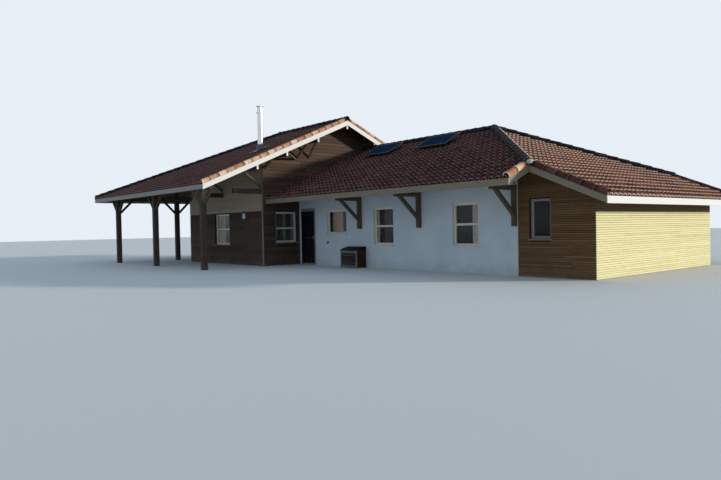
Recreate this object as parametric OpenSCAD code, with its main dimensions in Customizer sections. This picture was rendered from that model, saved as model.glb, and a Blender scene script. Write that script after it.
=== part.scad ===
// Beach house in the Landes style: a low white and timber wing with a hipped end,
// beside a taller block with a gable, a hip and an open porch on timber posts.
// Millimetres, +Z up. X runs along the white wall to the near corner, Y goes into the house.

/* [Wing walls] */
// Length of the wing from the gable wall to the near corner
wing_l = 13000; // [11000:100:15000]
// Depth of the wing from front wall to back wall
wing_w = 7150; // [6500:50:7500]
// Thickness of every outer wall
wall_t = 220; // [180:10:300]
// Length of the timber-clad part at the near end of the long walls
clad_l = 2320; // [2200:20:2600]
// Top of the floor slabs above the ground
floor_z = 60; // [30:5:70]

/* [Wing roof] */
// Height of the tiles at the long eaves
eave_z = 2700; // [2650:5:2800]
// How far the long eaves stand out from the walls
eave_out = 1650; // [1400:10:1650]
// Rise of the long planes for each metre
wing_rise = 430; // [410:5:450]
// Height of the tiles at the low end eave
end_z = 2160; // [2100:10:2220]
// How far the low end eave stands out from the end wall
end_out = 735; // [600:5:800]
// Rise of the end plane for each metre
end_rise = 425; // [410:5:450]
// How far the end plane's verges stand out over the long walls
end_verge = 770; // [600:10:850]

/* [Block walls] */
// Length of the taller block along X
block_l = 6500; // [6000:100:7500]
// How far the block stands forward of the white wall
block_front = 1700; // [1400:50:2000]
// How far the block stands back behind the wing
block_back = 700; // [300:50:1000]
// Height of the top of the brown boards below the pale band
band_z = 2170; // [2150:10:2400]
// Height of the inner opening between the wing and the block
link_h = 2450; // [2300:10:2500]

/* [Block roof] */
// Height of the tiles at the block's eaves
block_eave_z = 3175; // [3100:5:3250]
// Rise of the block's roof for each metre
block_rise = 430; // [410:2:450]
// How far the front eave stands out from the block's front wall
porch_out = 2950; // [2700:50:3200]
// How far the gable verge stands out from the gable wall
gable_out = 750; // [600:10:900]
// How far the hip end stands out from the block's left wall
hip_out = 4600; // [4200:50:5000]

/* [Roof build-up] */
// Upright thickness of the tile layer
tile_t = 90; // [60:5:110]
// Upright thickness of the rafters and boards under the tiles
deck_t = 90; // [60:5:120]
// Height of the eave boards
fascia_h = 180; // [150:5:200]
// Thickness of the eave and verge boards
board_t = 28; // [18:1:40]
// How far the tiles reach past the eave boards
tile_over = 35; // [20:5:60]
// Outer radius of the ridge, hip and verge tiles
cap_r = 110; // [90:5:125]

/* [Porch] */
// Side of the square porch posts
post_s = 200; // [150:5:220]
// Distance of the front posts from the block's front wall
post_out = 2600; // [2400:50:2700]
// Distance between the front posts
post_gap = 4390; // [4000:10:4600]
// Distance between the posts of the left row
side_gap = 2900; // [2600:50:3000]
// Height of the porch beams
beam_h = 180; // [140:10:220]

/* [Windows and door] */
// Height of the window and door heads
head_z = 2135; // [2050:5:2160]
// Height of the low window sills
sill_z = 825; // [700:5:900]
// Height of the window transoms
transom_z = 1480; // [1400:10:1600]
// Width of the door opening
door_w = 1000; // [900:10:1050]
// Height of the top of the door opening
door_h = 2260; // [2180:10:2300]
// Width of the door frame's bars
frame_b = 120; // [60:5:130]
// Gap round the door leaf
leaf_gap = 8; // [5:1:12]
// Thickness of the door leaf
leaf_t = 45; // [38:1:50]
// Distance of window frames behind the outer wall face
frame_in = 70; // [40:5:100]

/* [Fittings] */
// Radius of the flue pipe
flue_r = 115; // [80:5:130]
// Height of the top of the flue
flue_top = 6540; // [6400:10:6800]
// Width of one solar panel
panel_w = 1500; // [1400:10:1600]
// Length of one solar panel up the slope
panel_l = 950; // [850:10:1050]

/* [Hidden] */
$fn = 48;
e = 1;                                   // clearance between separate pieces
roof_t = tile_t + deck_t;
wing_rate = wing_rise / 1000;
end_rate = end_rise / 1000;
block_rate = block_rise / 1000;
// Wing roof, from the near corner of the walls
ridge_y = wing_w / 2;
ridge_z = eave_z + wing_rate * (ridge_y + eave_out);
apex_x = end_out - (ridge_z - end_z) / end_rate;
hip_foot_z = eave_z + wing_rate * (eave_out - end_verge);
hip_foot_x = end_out - (hip_foot_z - end_z) / end_rate;
// Block
gable_x = -wing_l;
block_x0 = gable_x - block_l;
block_y0 = -block_front;
block_y1 = wing_w + block_back;
block_eave_y = block_y0 - porch_out;
roof_x0 = block_x0 - hip_out;
roof_x1 = gable_x + gable_out;
block_ridge_y = 2060;
block_ridge_z = block_eave_z + block_rate * (block_ridge_y - block_eave_y);
block_back_y = 2 * block_ridge_y - block_eave_y;
block_hip_x = roof_x0 + (block_ridge_z - block_eave_z) / block_rate;
// Porch
post_y = block_y0 - post_out;
post_x = [for (i = [0:2]) gable_x + 80 - i * post_gap];
side_y = [for (i = [0:4]) post_y + i * side_gap];
beam_z = block_eave_z + block_rate * (post_y - 0.35 * post_s - block_eave_y) - roof_t - beam_h - 2;
// Openings in the long walls: [centre, width, sill]
front_windows = [[-10540, 1200, 1230], [-7905, 1000, sill_z], [-4230, 1010, sill_z]];
clad_window = [-1618, 670, 1045];
gable_window_y = -645;
gable_window_w = 1000;
gable_window_z = 915;
block_window_x = -16400;
block_window_w = 1330;
left_window_y = [400, 5200];
door_x0 = gable_x + 110;
door_x1 = door_x0 + door_w;
door_y = 60;                             // outer face of the door leaf behind the wall face
// Purlins under the gable verge; the first one also runs over the porch
purlin_y = [-2350, -1000, 530, block_ridge_y, 3590, 5120, 6650];
purlin_h = 250;
porch_purlin_x0 = block_x0 + 100;
porch_strut_x = [gable_x - 130, gable_x - 3250, block_x0 + 130];
wall_beam_y = -2960;
// Place of the flue
flue_x = -14490;
flue_y = -850;
// Brackets under the wing's eaves, and their reach
bracket_x = [-9110, -6130, -2400];
bracket_out = 1120;
bracket_z = 1400;
bracket_top = 2540;
// Whole model is moved so that its box stands centred over the origin
model_x = -(roof_x0 + end_out) / 2;
model_y = -(block_eave_y + max(block_back_y, wing_w + eave_out)) / 2;

// Helpers

// A closed prism between two heights over a plan outline
module plan(points, z0 = -100, z1 = 9000) translate([0, 0, z0]) linear_extrude(z1 - z0) polygon(points);

// A profile drawn in Y and Z, pulled along X
module along_x(points, x0, x1)
    translate([x0, 0, 0]) rotate([90, 0, 90]) linear_extrude(x1 - x0) polygon(points);

// A profile drawn in X and Z, pulled along Y
module along_y(points, y0, y1)
    translate([0, y1, 0]) rotate([90, 0, 0]) linear_extrude(y1 - y0) polygon(points);

// A box from its two corners
module box(a, b) translate(a) cube([b[0] - a[0], b[1] - a[1], b[2] - a[2]]);

// Everything below the wing's roof, lowered by a distance
module under_wing(down) intersection() {
    along_x([[-eave_out, -500], [-eave_out, eave_z - down], [ridge_y, ridge_z - down],
        [wing_w + eave_out, eave_z - down], [wing_w + eave_out, -500]], gable_x - 200, end_out);
    along_y([[gable_x - 200, -500], [gable_x - 200, end_z + end_rate * (end_out - gable_x + 200) - down],
        [end_out, end_z - down], [end_out, -500]], -eave_out, wing_w + eave_out);
}

// Everything below the block's roof, lowered by a distance
module under_block(down) intersection() {
    along_x([[block_eave_y, -500], [block_eave_y, block_eave_z - down], [block_ridge_y, block_ridge_z - down],
        [block_back_y, block_eave_z - down], [block_back_y, -500]], roof_x0, roof_x1);
    along_y([[roof_x0, -500], [roof_x0, block_eave_z - down],
        [roof_x1, block_eave_z + block_rate * (roof_x1 - roof_x0) - down], [roof_x1, -500]],
        block_eave_y, block_back_y);
}

// Plan outlines of the roof planes, cut back by half a joint along the hips
wing_front_plan = [[gable_x + e, -eave_out], [hip_foot_x - e, -eave_out], [hip_foot_x - e, -end_verge],
    [apex_x - e, ridge_y - e], [gable_x + e, ridge_y - e]];
wing_end_plan = [[apex_x + e, ridge_y], [hip_foot_x + e, -end_verge], [end_out, -end_verge],
    [end_out, wing_w + end_verge], [hip_foot_x + e, wing_w + end_verge]];
wing_back_plan = [for (p = wing_front_plan) [p[0], wing_w - p[1]]];
block_front_plan = [[roof_x0 + 2 * e, block_eave_y], [roof_x1, block_eave_y], [roof_x1, block_ridge_y - e],
    [block_hip_x + e, block_ridge_y - e]];
block_hip_plan = [[roof_x0, block_eave_y + e], [block_hip_x - e, block_ridge_y], [roof_x0, block_back_y - e]];
block_back_plan = [for (p = block_front_plan) [p[0], 2 * block_ridge_y - p[1]]];

// One layer of one roof plane
module wing_layer(outline, top, bottom) difference() {
    intersection() { under_wing(top); plan(outline, 0); }
    under_wing(bottom);
}
module block_layer(outline, top, bottom) difference() {
    intersection() { under_block(top); plan(outline, 0); }
    under_block(bottom);
}

// Floor slabs inside the walls of the wing and of the block
module floor_slabs() color("darkgray") {
    box([gable_x + e, wall_t + e, 0], [-wall_t - e, wing_w - wall_t - e, floor_z]);
    box([block_x0 + wall_t + e, block_y0 + wall_t + e, 0],
        [gable_x - wall_t - e, block_y1 - wall_t - e, floor_z]);
}

// Walls of the wing: straight stretches cut to the slope of the roof

module long_wall(x0, x1, y0, z0 = 0) intersection() {
    box([x0, y0, z0], [x1, y0 + wall_t, 5000]);
    under_wing(roof_t + e);
}

module window_hole_x(w, y0) box([w[0] - w[1] / 2, y0 - 50, w[2]], [w[0] + w[1] / 2, y0 + wall_t + 50, head_z]);

module front_wall_right_of_door() color("ghostwhite") difference() {
    long_wall(door_x1, -clad_l, 0);
    for (w = front_windows) window_hole_x(w, 0);
}

module front_wall_over_door() color("ghostwhite")
    long_wall(door_x0 + e, door_x1 - e, 0, door_h);

module front_wall_left_of_door() color("ghostwhite")
    long_wall(gable_x + e, door_x0, 0);

module front_wall_timber() color("saddlebrown") difference() {
    long_wall(-clad_l + e, 0, 0);
    window_hole_x(clad_window, 0);
}

module end_wall() color("peru") intersection() {
    box([-wall_t, wall_t + e, 0], [0, wing_w - wall_t - e, 5000]);
    under_wing(roof_t + e);
}

module back_wall_white() color("ghostwhite") difference() {
    long_wall(gable_x + e, -clad_l, wing_w - wall_t);
    for (w = front_windows) window_hole_x(w, wing_w - wall_t);
}

module back_wall_timber() color("saddlebrown") difference() {
    long_wall(-clad_l + e, 0, wing_w - wall_t);
    window_hole_x(clad_window, wing_w - wall_t);
}

// Walls of the block

module block_wall(a, b) intersection() {
    box(a, [b[0], b[1], 7000]);
    under_block(roof_t + e);
}

module gable_hole() box([gable_x - wall_t - 50, gable_window_y - gable_window_w / 2, gable_window_z],
    [gable_x + 50, gable_window_y + gable_window_w / 2, head_z]);

// The gable wall is split into two piers and the part over the inner opening
module gable_wall_piers() color("sienna") {
    difference() {
        box([gable_x - wall_t, block_y0, 0], [gable_x, wall_t, link_h - e]);
        gable_hole();
    }
    box([gable_x - wall_t, wing_w - wall_t, 0], [gable_x, block_y1, link_h - e]);
}

module gable_wall_upper() color("sienna")
    block_wall([gable_x - wall_t, block_y0, link_h], [gable_x, block_y1]);

module block_front_wall() color("sienna") difference() {
    box([block_x0, block_y0, 0], [gable_x - wall_t - e, block_y0 + wall_t, band_z - e]);
    box([block_window_x - block_window_w / 2, block_y0 - 50, sill_z],
        [block_window_x + block_window_w / 2, block_y0 + wall_t + 50, head_z]);
}

module block_left_wall() color("sienna") difference() {
    box([block_x0, block_y0 + wall_t + e, 0], [block_x0 + wall_t, block_y1 - wall_t - e, band_z - e]);
    for (y = left_window_y) box([block_x0 - 50, y, sill_z], [block_x0 + wall_t + 50, y + 1330, head_z]);
}

module block_back_wall() color("sienna") difference() {
    box([block_x0, block_y1 - wall_t, 0], [gable_x - wall_t - e, block_y1, band_z - e]);
    box([block_window_x - block_window_w / 2, block_y1 - wall_t - 50, sill_z],
        [block_window_x + block_window_w / 2, block_y1 + 50, head_z]);
}

// Pale boarding above the band, on the block's front, left and back walls
module upper_boarding() color("gainsboro") {
    block_wall([block_x0, block_y0, band_z], [gable_x - wall_t - e, block_y0 + wall_t]);
    block_wall([block_x0, block_y0 + wall_t + e, band_z], [block_x0 + wall_t, block_y1 - wall_t - e]);
    block_wall([block_x0, block_y1 - wall_t, band_z], [gable_x - wall_t - e, block_y1]);
}

// White boards round the front and back corners of the gable wall, let out round the wing's roof
module corner_boards() color("white") for (side = [0, 1]) difference() {
    w = 95;
    leg = 45;
    y = side == 0 ? block_y0 : block_y1;
    d = side == 0 ? 1 : -1;
    intersection() {
        plan([[gable_x - w, y - d * board_t], [gable_x + board_t, y - d * board_t],
            [gable_x + board_t, y + d * leg], [gable_x + e, y + d * leg], [gable_x + e, y - d * e],
            [gable_x - w, y - d * e]], 0);
        under_block(roof_t + e);
    }
    difference() {
        under_wing(-2 * e);
        under_wing(roof_t + 2 * e);
    }
}

// Roofs: a tile layer over a deck of rafters and boards for every plane

module wing_tiles_front() color("sienna") wing_layer(wing_front_plan, 0, tile_t);
module wing_tiles_end() color("chocolate") wing_layer(wing_end_plan, 0, tile_t);
module wing_tiles_back() color("sienna") wing_layer(wing_back_plan, 0, tile_t);

// Rafters and boards under the wing's tiles, kept inside the boards of the eaves and verges
module wing_decks() color("peru") {
    m = board_t + tile_over + e;
    v = board_t + 2 * e;
    for (outline = [wing_front_plan, wing_back_plan]) intersection() {
        wing_layer(outline, tile_t + e, roof_t);
        box([gable_x, -eave_out + m, 0], [hip_foot_x - v, wing_w + eave_out - m, 9000]);
    }
    intersection() {
        wing_layer(wing_end_plan, tile_t + e, roof_t);
        box([gable_x, -end_verge + v, 0], [end_out - m, wing_w + end_verge - v, 9000]);
    }
}

module flue_hole() translate([flue_x, flue_y, 3000]) cylinder(h = 4000, r = flue_r + 6);

module block_tiles_front() color("sienna") difference() {
    block_layer(block_front_plan, 0, tile_t);
    flue_hole();
}
module block_tiles_hip() color("sienna") block_layer(block_hip_plan, 0, tile_t);
module block_tiles_back() color("sienna") block_layer(block_back_plan, 0, tile_t);

// Rafters and boards under the block's tiles
module block_decks() color("saddlebrown") {
    m = board_t + tile_over + e;
    for (outline = [block_front_plan, block_hip_plan, block_back_plan]) difference() {
        intersection() {
            block_layer(outline, tile_t + e, roof_t);
            box([roof_x0 + m, block_eave_y + m, 0], [roof_x1 - board_t - e, block_back_y - m, 9000]);
        }
        flue_hole();
    }
}

// Boards under the tile edges

// Level boards along the low edges of both roofs
module eave_boards() color("gainsboro") {
    in = tile_over + board_t;
    wing_top = eave_z + wing_rate * tile_over - tile_t;
    for (y = [-eave_out + tile_over, wing_w + eave_out - in])
        box([gable_x + e, y, wing_top - fascia_h], [hip_foot_x - board_t - e, y + board_t, wing_top - e]);
    end_top = end_z + end_rate * tile_over - tile_t;
    box([end_out - in, -end_verge + board_t + e, end_top - fascia_h],
        [end_out - tile_over, wing_w + end_verge - board_t - e, end_top - e]);
    block_top = block_eave_z + block_rate * tile_over - tile_t;
    for (y = [block_eave_y + tile_over, block_back_y - in])
        box([roof_x0 + in + e, y, block_top - fascia_h], [roof_x1 - board_t - e, y + board_t, block_top - e]);
    box([roof_x0 + tile_over, block_eave_y + tile_over, block_top - fascia_h],
        [roof_x0 + in, block_back_y - tile_over, block_top - e]);
}

// Sloping boards on the verges of the wing's planes and on the block's gable
module bargeboards() color("white") {
    for (side = [0, 1]) {
        y0 = side == 0 ? -eave_out + tile_over : wing_w + end_verge + e;
        y1 = side == 0 ? -end_verge - e : wing_w + eave_out - tile_over;
        wing_layer([[hip_foot_x - board_t, y0], [hip_foot_x - e, y0], [hip_foot_x - e, y1],
            [hip_foot_x - board_t, y1]], tile_t + e, tile_t + fascia_h);
        y2 = side == 0 ? -end_verge : wing_w + end_verge - board_t;
        wing_layer([[hip_foot_x + e, y2], [end_out - tile_over, y2], [end_out - tile_over, y2 + board_t],
            [hip_foot_x + e, y2 + board_t]], tile_t + e, tile_t + fascia_h);
        y3 = side == 0 ? block_eave_y + tile_over : block_ridge_y + e;
        y4 = side == 0 ? block_ridge_y - e : block_back_y - tile_over;
        block_layer([[roof_x1 - board_t, y3], [roof_x1, y3], [roof_x1, y4], [roof_x1 - board_t, y4]],
            tile_t + e, tile_t + fascia_h + 20);
    }
}

// Ridge, hip and verge tiles, bedded on the planes of the roofs

// A round bar between two points
module round_bar(a, b, r) {
    d = b - a;
    run = norm([d[0], d[1]]);
    translate(a) rotate([0, 0, atan2(d[1], d[0])]) rotate([0, 90 - atan2(d[2], run), 0])
        cylinder(h = norm(d), r = r);
}

// Points on the planes where ridges, hips and verges start and end
function on_wing_front(x, y) = [x, y, eave_z + wing_rate * (min(y, wing_w - y) + eave_out) - cap_sink];
function on_wing_end(x, y) = [x, y, end_z + end_rate * (end_out - x) - cap_sink];
function on_block(x, y) =
    [x, y, block_ridge_z - block_rate * abs(y - block_ridge_y) - cap_sink];
cap_sink = 20;
wing_apex = on_wing_end(apex_x, ridge_y);
block_apex = on_block(block_hip_x, block_ridge_y);

// Outline of the wing's roof, let out all round
function wing_outline(g) = [[gable_x - g, -eave_out - g], [hip_foot_x + g, -eave_out - g],
    [hip_foot_x + g, -end_verge - g], [end_out + g, -end_verge - g], [end_out + g, wing_w + end_verge + g],
    [hip_foot_x + g, wing_w + end_verge + g], [hip_foot_x + g, wing_w + eave_out + g],
    [gable_x - g, wing_w + eave_out + g]];

// Only what stands clear above a roof and inside its eaves; verge tiles also hang over the side
module over_wing(hangs = false) intersection() {
    difference() {
        children();
        intersection() {
            under_wing(-e);
            if (hangs) plan(wing_outline(e)); else plan(wing_outline(500));
        }
    }
    box([gable_x + e, -eave_out, 0], [end_out, wing_w + eave_out, 9000]);
}
module over_block() intersection() {
    difference() {
        children();
        under_block(-e);
        translate([e, 0, 0]) under_block(-e);
    }
    box([roof_x0, block_eave_y, 0], [roof_x1 + 200, block_back_y, 9000]);
}

// Round tiles where hips meet ridges or verges
module knob(point, grown = 0) translate(point) sphere(r = cap_r + 25 + grown);

module ridge_tiles() color("chocolate") {
    over_wing() { round_bar(on_wing_front(gable_x + e, ridge_y), wing_apex, cap_r); knob(wing_apex); }
    over_block() { round_bar(block_apex, on_block(roof_x1, block_ridge_y), cap_r); knob(block_apex); }
}

// Each hip runs up to the round tile at its top
module hip_tiles() color("chocolate") for (side = [0, 1]) {
    foot = on_wing_end(hip_foot_x, side == 0 ? -end_verge : wing_w + end_verge);
    over_wing() difference() {
        union() { round_bar(foot, wing_apex, cap_r); knob(foot); }
        knob(wing_apex, e);
        if (side == 1) round_bar(on_wing_end(hip_foot_x, -end_verge), wing_apex, cap_r + e);
    }
    corner = [roof_x0, side == 0 ? block_eave_y : block_back_y, block_eave_z - cap_sink];
    over_block() difference() {
        round_bar(corner, block_apex, cap_r);
        knob(block_apex, e);
        if (side == 1) round_bar([roof_x0, block_eave_y, block_eave_z - cap_sink], block_apex, cap_r + e);
    }
}

// Tiles bedded along the gable verge and the wing's verges, down to the round tile of each hip
module verge_tiles() color("coral") for (side = [0, 1]) {
    $fn = 32;
    d = side == 0 ? 1 : -1;
    r = cap_r - 15;
    in = r - 30;
    x0 = roof_x1 - in;
    over_block() round_bar(on_block(x0, side == 0 ? block_eave_y : block_back_y),
        on_block(x0, block_ridge_y - d * (cap_r + 2)), r);
    x1 = hip_foot_x - in;
    y0 = side == 0 ? -eave_out : wing_w + eave_out;
    y1 = side == 0 ? -end_verge : wing_w + end_verge;
    over_wing(true) difference() {
        union() {
            round_bar(on_wing_front(x1, y0), on_wing_front(x1, y1 - d * 60), r);
            round_bar(on_wing_end(end_out, y1 + d * in), on_wing_end(hip_foot_x + 60, y1 + d * in), r);
        }
        knob(on_wing_end(hip_foot_x, y1), e, $fn = 48);
    }
}

// Timber under the roofs

function purlin_top(y) = block_ridge_z - block_rate * (abs(y - block_ridge_y) + 40) - roof_t - e;

// Purlins that carry the gable verge, shallower behind the ridge and over the wing's ridge tiles;
// the first one also runs over the porch
function purlin_depth(y) = y < block_ridge_y + 1 ? purlin_h : abs(y - ridge_y) < 300 ? 140 : 225;
module roof_purlins() color("white") for (y = purlin_y) {
    z = purlin_top(y);
    x0 = y < block_y0 ? porch_purlin_x0 : gable_x + e;
    box([x0, y - 40, z - purlin_depth(y)], [roof_x1 - board_t - e, y + 40, z]);
}

// A bar of square section between two points
module bar(a, b, s) {
    d = b - a;
    run = norm([d[0], d[1]]);
    translate(a) rotate([0, 0, atan2(d[1], d[0])]) rotate([0, -atan2(d[2], run), 0])
        translate([0, -s / 2, -s / 2]) cube([norm(d), s, s]);
}

// A pair of struts under the gable verge, knee struts at the front corner and under the next purlin,
// and knee struts of the porch
module roof_struts() color("burlywood") {
    foot = [gable_x - 40, -90, 4285];
    intersection() {
        union() {
            bar(foot, [roof_x1 - 20, 40, 4930], 70);
            bar(foot, [roof_x1 - 60, -940, 4400], 70);
        }
        box([gable_x + e, purlin_y[1] + 40 + e, 4000], [roof_x1 - board_t - 2 * e, 400, 6000]);
        under_block(roof_t + e);
    }
    intersection() {
        y = block_y0 + 95;
        bar([gable_x - 100, y, 3800], [roof_x1 - 20, y, 4290], 90);
        box([gable_x + e, y - 45, 3700], [roof_x1 - board_t - 2 * e, y + 45, 6000]);
        under_block(roof_t + e);
    }
    intersection() {
        z = purlin_top(purlin_y[2]) - purlin_h - e;
        bar([gable_x - 100, purlin_y[2], z - 700], [roof_x1 - 150, purlin_y[2], z + 45], 70);
        box([gable_x + e, purlin_y[2] - 60, z - 900], [roof_x1 - 100, purlin_y[2] + 60, z]);
    }
    for (x = porch_strut_x) intersection() {
        z = purlin_top(purlin_y[0]) - purlin_h - e;
        bar([x, block_y0 + 100, z - 660], [x, purlin_y[0] - 80, z - 40], 90);
        box([x - 60, purlin_y[0] - 60, 3045], [x + 60, block_y0 - board_t - e, z]);
    }
}

// A wall bracket: post on the wall, beam and diagonal, facing -Y
module bracket(x) {
    s = 130;
    box([x - s / 2, -s, bracket_z], [x + s / 2, -e, bracket_top]);
    box([x - s / 2, -bracket_out, bracket_top - s], [x + s / 2, -s + e, bracket_top]);
    intersection() {
        bar([x, -bracket_out + 120, bracket_top - 40], [x, -60, bracket_z + 280], 100);
        box([x - 60, -bracket_out, bracket_z], [x + 60, -60, bracket_top - 20]);
    }
}

// Purlin along the eave, on the ends of the brackets
module eave_purlin() {
    y = -bracket_out + 120;
    top = eave_z + wing_rate * (eave_out + y - 50) - roof_t - e;
    box([gable_x + e, y - 50, bracket_top - e], [hip_foot_x - 300, y + 50, top]);
}

// The brackets of each long eave with the purlin that they carry
module eave_brackets() color("saddlebrown") for (side = [0, 1])
    translate([0, side * wing_w, 0]) mirror([0, side, 0]) {
        for (x = bracket_x) bracket(x);
        eave_purlin();
    }

// The front posts carry a beam; those of the left row run up to the hip plane
module porch_posts() color("sienna") {
    h = post_s / 2;
    for (x = post_x) box([x - h, post_y - h, 0], [x + h, post_y + h, beam_z - e]);
    for (i = [1:4]) intersection() {
        box([post_x[2] - h, side_y[i] - h, 0], [post_x[2] + h, side_y[i] + h, 6000]);
        under_block(roof_t + e);
    }
}

// A beam along the front posts, beams between those of the left row, and short ones on the wall
module porch_beams() color("saddlebrown") {
    h = post_s * 0.35;
    box([post_x[2] - 900, post_y - h, beam_z], [roof_x1 - board_t - e, post_y + h, beam_z + beam_h]);
    for (i = [1:4]) box([post_x[2] - h, i == 1 ? post_y + h + e : side_y[i - 1] + post_s / 2 + e, beam_z],
        [post_x[2] + h, side_y[i] - post_s / 2 - e, beam_z + beam_h]);
    for (x = porch_strut_x) box([x - 70, wall_beam_y, 2850], [x + 70, block_y0 - board_t - e, 3040]);
}

// Knee braces from posts to beams, clear of both by a hair
module knee(post, dir) {
    reach = 650;
    h = post_s / 2 + e;
    bar_end = reach + 60;
    intersection() {
        bar([post[0], post[1], beam_z - reach - 30],
            [post[0] + dir[0] * bar_end, post[1] + dir[1] * bar_end, beam_z + 30], 90);
        difference() {
            translate([post[0] - 900, post[1] - 900, beam_z - 900]) cube([1800, 1800, 900 - e]);
            translate([post[0] - h, post[1] - h, beam_z - 1000]) cube([2 * h, 2 * h, 1100]);
        }
    }
}

module porch_braces() color("saddlebrown") {
    for (x = post_x) for (d = [-1, 1]) knee([x, post_y], [d, 0]);
    for (i = [1:4]) for (d = (i == 4 ? [-1] : [-1, 1])) knee([post_x[2], side_y[i]], [0, d]);
    knee([post_x[2], post_y], [0, 1]);
}

// Windows: a frame with, in the tall ones, a transom, drawn in X and Z, facing -Y

module frame_bars(w, sill, tall) {
    b = 70;
    h = head_z - sill - 2 * e;
    translate([e, 0, e]) {
        difference() {
            cube([w - 2 * e, b, h]);
            translate([b, -1, b]) cube([w - 2 * e - 2 * b, b + 2, h - 2 * b]);
        }
        if (tall) translate([b - 1, 0, transom_z - sill - b / 2]) cube([w - 2 * e - 2 * b + 2, b, b]);
    }
}

module panes(w, sill, tall) difference() {
    translate([73, 26, 73]) cube([w - 146, 12, head_z - sill - 146]);
    if (tall) translate([0, 0, transom_z - sill - 37]) cube([w, 100, 74]);
}

module one_window(w, sill, tall, frame) if (frame) frame_bars(w, sill, tall); else panes(w, sill, tall);

// Every window's frame or panes, facing out of its wall
module each_window(frame) {
    for (w = concat(front_windows, [clad_window])) {
        translate([w[0] - w[1] / 2, frame_in, w[2]]) one_window(w[1], w[2], w[2] == sill_z, frame);
        translate([w[0] - w[1] / 2, wing_w - frame_in, w[2]]) mirror([0, 1, 0])
            one_window(w[1], w[2], w[2] == sill_z, frame);
    }
    translate([gable_x - frame_in, gable_window_y - gable_window_w / 2, gable_window_z]) rotate([0, 0, 90])
        one_window(gable_window_w, gable_window_z, true, frame);
    translate([block_window_x - block_window_w / 2, block_y0 + frame_in, sill_z])
        one_window(block_window_w, sill_z, true, frame);
    translate([block_window_x - block_window_w / 2, block_y1 - frame_in, sill_z]) mirror([0, 1, 0])
        one_window(block_window_w, sill_z, true, frame);
    for (y = left_window_y) translate([block_x0 + frame_in, y + 1330, sill_z]) rotate([0, 0, -90])
        one_window(1330, sill_z, true, frame);
}

module window_frames() color("whitesmoke") each_window(true);
module window_panes() color("lightslategray") each_window(false);

// Projecting sill boards
module window_sills() color("lightgray") {
    for (w = concat(front_windows, [clad_window])) {
        box([w[0] - w[1] / 2 - 40, -45, w[2] - 45], [w[0] + w[1] / 2 + 40, -e, w[2] - e]);
        box([w[0] - w[1] / 2 - 40, wing_w + e, w[2] - 45], [w[0] + w[1] / 2 + 40, wing_w + 45, w[2] - e]);
    }
    box([gable_x + e, gable_window_y - gable_window_w / 2 - 60, gable_window_z - 45],
        [gable_x + 45, min(gable_window_y + gable_window_w / 2 + 60, -2), gable_window_z - e]);
    for (y = [block_y0 - 45, block_y1 + e])
        box([block_window_x - block_window_w / 2 - 40, y, sill_z - 45],
            [block_window_x + block_window_w / 2 + 40, y + 44, sill_z - e]);
    for (y = left_window_y) box([block_x0 - 45, y - 40, sill_z - 45], [block_x0 - e, y + 1370, sill_z - e]);
}

// Door: a frame in the wall, and a plank leaf that swings into the house

module door_frame() color("lightgray") {
    for (x = [door_x0 + e, door_x1 - frame_b - e])
        box([x, 20, 0], [x + frame_b, door_y + leaf_t - 5, door_h - frame_b - 2 * e]);
    box([door_x0 + e, 20, door_h - frame_b - e], [door_x1 - e, door_y + leaf_t - 5, door_h - e]);
    box([door_x0 + frame_b + 2 * e, 0, 0], [door_x1 - frame_b - 2 * e, wall_t, floor_z]);
}

leaf_x0 = door_x0 + e + frame_b + leaf_gap;
leaf_x1 = door_x1 - e - frame_b - leaf_gap;
leaf_z0 = floor_z + 12;
leaf_z1 = door_h - frame_b - 2 * e - leaf_gap;

// Pin line of the hinges, at the inner face by the left jamb
hinge_r = 8;
hinge_x = leaf_x0 - leaf_gap / 2;
hinge_y = door_y + leaf_t + hinge_r;

// Leaf with three hinge knuckles and their flaps
module door_leaf() color("dimgray") {
    box([leaf_x0, door_y, leaf_z0], [leaf_x1, door_y + leaf_t, leaf_z1]);
    for (z = [leaf_z0 + 180, (leaf_z0 + leaf_z1) / 2, leaf_z1 - 280]) {
        translate([hinge_x, hinge_y, z]) cylinder(h = 100, r = hinge_r);
        box([hinge_x, hinge_y - hinge_r - e, z], [hinge_x + 70, hinge_y - hinge_r + 4, z + 100]);
    }
}

// Lever handles on both faces
module door_handle() color("silver") {
    x = leaf_x1 - 60;
    z = 1080;
    for (s = [0, 1]) translate([x, s == 0 ? door_y - e / 10 : door_y + leaf_t + e / 10, z])
        mirror([0, s == 0 ? 1 : 0, 0]) {
            translate([-20, 0, -70]) cube([40, 8, 160]);
            rotate([-90, 0, 0]) cylinder(h = 48, r = 10);
            translate([-120, 38, -10]) cube([130, 14, 20]);
        }
}

// Fittings

module flue_pipe() color("silver") translate([flue_x, flue_y, 0]) {
    translate([0, 0, 4300]) cylinder(h = flue_top - 4300, r = flue_r);
    translate([0, 0, flue_top - 1]) cylinder(h = 60, r = flue_r * 0.75);
    translate([0, 0, flue_top + 55]) cylinder(h = 25, r = flue_r + 35);
    translate([0, 0, flue_top - 250]) cylinder(h = 60, r = flue_r + 14);
    translate([-flue_r - 130, 0, flue_top - 160]) rotate([0, 90, 0]) cylinder(h = 180, r = 35);
}

// A sheet dressed over the tiles, with a collar round the pipe
module flue_flashing() color("gray") difference() {
    z = block_eave_z + block_rate * (flue_y - block_eave_y);
    union() {
        intersection() {
            difference() { under_block(-25); under_block(-2); }
            box([flue_x - 330, flue_y - 380, 0], [flue_x + 330, flue_y + 330, 9000]);
        }
        translate([flue_x, flue_y, z + 10]) cylinder(h = 190, r = flue_r + 45);
    }
    translate([flue_x, flue_y, 0]) cylinder(h = 9000, r = flue_r + 2);
    under_block(-2);
}

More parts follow.
